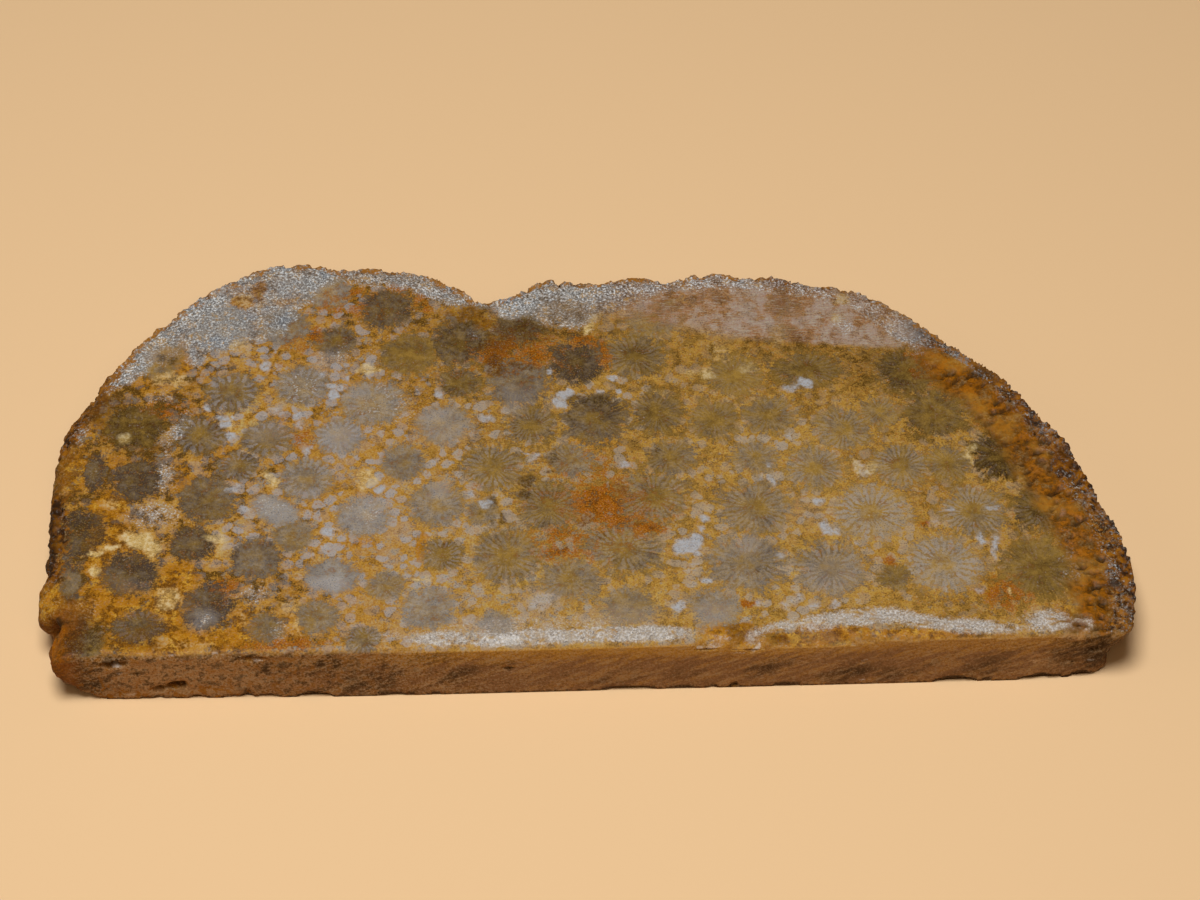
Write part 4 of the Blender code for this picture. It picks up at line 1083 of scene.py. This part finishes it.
def sawed(paint):
    # the sawn front: slanting streaks about 6 mm long and 1 mm wide, with grit and dark patches, some of
    # them painted shade in its hollows, foot flakes and lower left corner
    tilt = {0: inMm, "Rotation": (0, -0.42, 0), "Scale": (6.0, 1.0, 1.0)}
    tilt = addNode(tree, "ShaderNodeMapping", tilt, vector_type="TEXTURE").outputs[0]
    streak = {"Vector": tilt, "Scale": 1.0, "Detail": 3.0, "Roughness": 0.7}
    streak = band(0.35, 0.65, addNode(tree, "ShaderNodeTexNoise", streak).outputs["Fac"])
    ochre = add((band(4.0, 8.5, height), 0.35), (streak, 0.8), (fine, 0.3), -0.45)
    sawn = lay(tint["sawnBrown"], tint["sawnOchre"], ochre)
    glow = times(band(-34.0, -24.0, placeX), band(48.0, 30.0, placeX, low=0.5), add((mottle, 0.35), 0.8))
    sawn = lay(sawn, tint["sawnGlow"], band(6.6, 10.0, height, (streak, 1.8)), glow)
    sawn = lay(sawn, tint["sawnPale"], band(0.0, 0.9, sawnLight, (crystals, 1.2), -0.6), 0.75)
    upper = times(band(8.6, 9.5, height), band(-26.0, -40.0, placeX), 0.5)
    # the dark patches, partly painted shade
    dim = add(sawnDarkAndShade, (streak, -0.35), (mottle, 0.25), (fine, 0.25), -0.05, upper)
    sawn = lay(sawn, tint["sawnDark"], band(0.1, 1.3, dim), 0.9)
    grit = band(4.0, -34.0, placeX, low=0.5)
    sawn = lay(sawn, tint["sawnDark"], band(0.5, 0.36, crystals), grit, 0.6)
    sawn = lay(sawn, tint["sawnGrey"], band(0.53, 0.66, crystals, (streak, 0.1)), grit, 0.75)
    greyed = band(0.7, 1.0, (mottle, 0.4), (streak, 0.6))
    sawn = lay(sawn, tint["sawnGrey"], greyed, add((grit, 0.15), 0.2))

    # broken up toward the left, rubble at its foot there
    left = band(-12.0, -46.0, placeX)
    sawn = lay(sawn, tint["sawnDark"], left, band(0.5, 0.6, crust), add((fine, 0.5), 0.3))
    sawn = lay(sawn, tint["rindOchre"], left, band(0.47, 0.38, crust), add((fine, 0.5), 0.2))
    rubble = times(band(-47.0, -55.0, placeX), band(4.4, 2.4, height, (mottle, 1.4)))
    sawn = lay(sawn, tint["rindOchre"], rubble, band(0.5, 0.42, crust), 0.8)
    sawn = lay(sawn, tint["sawnPale"], rubble, band(0.5, 0.58, crust), add((fine, 0.5), 0.45))
    # painted glints: white specks in the front's chips and hollows
    sawn = lay(sawn, tint["glintWhite"], band(0.2, 0.8, glint, (crystals, 0.8), -0.5), 0.8)
    # painted contact shadow: the lowest part of the front darkened along its foot
    sawn = lay(sawn, tint["sawnDark"], band(0.75, 0.35, height, (fine, 0.5), high=0.9))
    sawn = lay(sawn, embers, rust, band(-72.0, -75.5, placeX), 0.85)
    return lay(paint, sawn, front)


# mixed paints and shares that several layers use
syrupTone = band(0.2, 0.85, (cloud, 0.35), (mottle, 0.4), (fine, 0.35))
syrup = lay(tint["treacle"], tint["amber"], syrupTone)
syrup = lay(syrup, tint["lemon"], band(0.55, 1.05, (cloud, 0.6), (fine, 0.4), high=0.75))
embers = lay(tint["ember"], tint["rust"], band(0.35, 1.0, (mottle, 0.5), (fine, 0.7), (dust, 0.4)))
embers = lay(embers, tint["flame"], band(0.56, 0.76, (dust, 0.4), (crust, 0.6), high=0.5))
dull = lay(tint["frost"], tint["slate"], band(0.8, 1.4, broad, (cloud, 0.4), high=0.8))
spared = less(times(cream, 0.9))
sprinkled = band(0.1, 0.8, frost, (mottle, 0.35), (crystals, 1.1), -0.85)
rime = times(sprinkled, less(times(amber, 0.8)), less(times(umber, 0.8)), spared)
# share of the rubbed strips, partly a painted highlight
rubbedHighlightShare = times(band(0.05, 0.8, rubbedHighlight, (mottle, 0.2), (crystals, 0.8), -0.5), less(vug))

paint = lay(groundPaint(), corallitePaint(), disc)
paint = lay(paint, lay(tint["petal"], tint["fibre"], soft, 0.28), petalsAt(), 0.75)
paint = lay(paint, tint["fleck"], flecks, add((disc, -0.3), (soft, -0.08), 0.48))
for layer in (stained, blushed, frosted, rubbedAndHighlit, rimmed, barked, sawed):
    paint = layer(paint)

bumpiness = add(0.2, (frost, 1.0), (rind, 1.6), (rosy, 0.5), (front, 1.2))
relief = times(lumps["bump"], bumpiness)
bump = addNode(tree, "ShaderNodeBump", {"Height": relief, "Distance": 0.2 * mm, "Strength": 1.0}).outputs[0]
rough = add(0.4, (frost, 0.3), (rosy, 0.2), (rind, 0.25), (front, 0.2), (under, 0.2), (fine, 0.1))
shader = tree.nodes["Principled BSDF"]
tree.links.new(paint, shader.inputs["Base Color"])
tree.links.new(rough, shader.inputs["Roughness"])
tree.links.new(bump, shader.inputs["Normal"])
shader.inputs["IOR"].default_value = 1.54  # chalcedony
shader.inputs["Specular IOR Level"].default_value = 0.08  # fine dust and rubbing take the gloss off

slab.data.materials.clear()
slab.data.materials.append(material)
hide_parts("fossil_coral_slab")
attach(slab, "root")
print("finished")
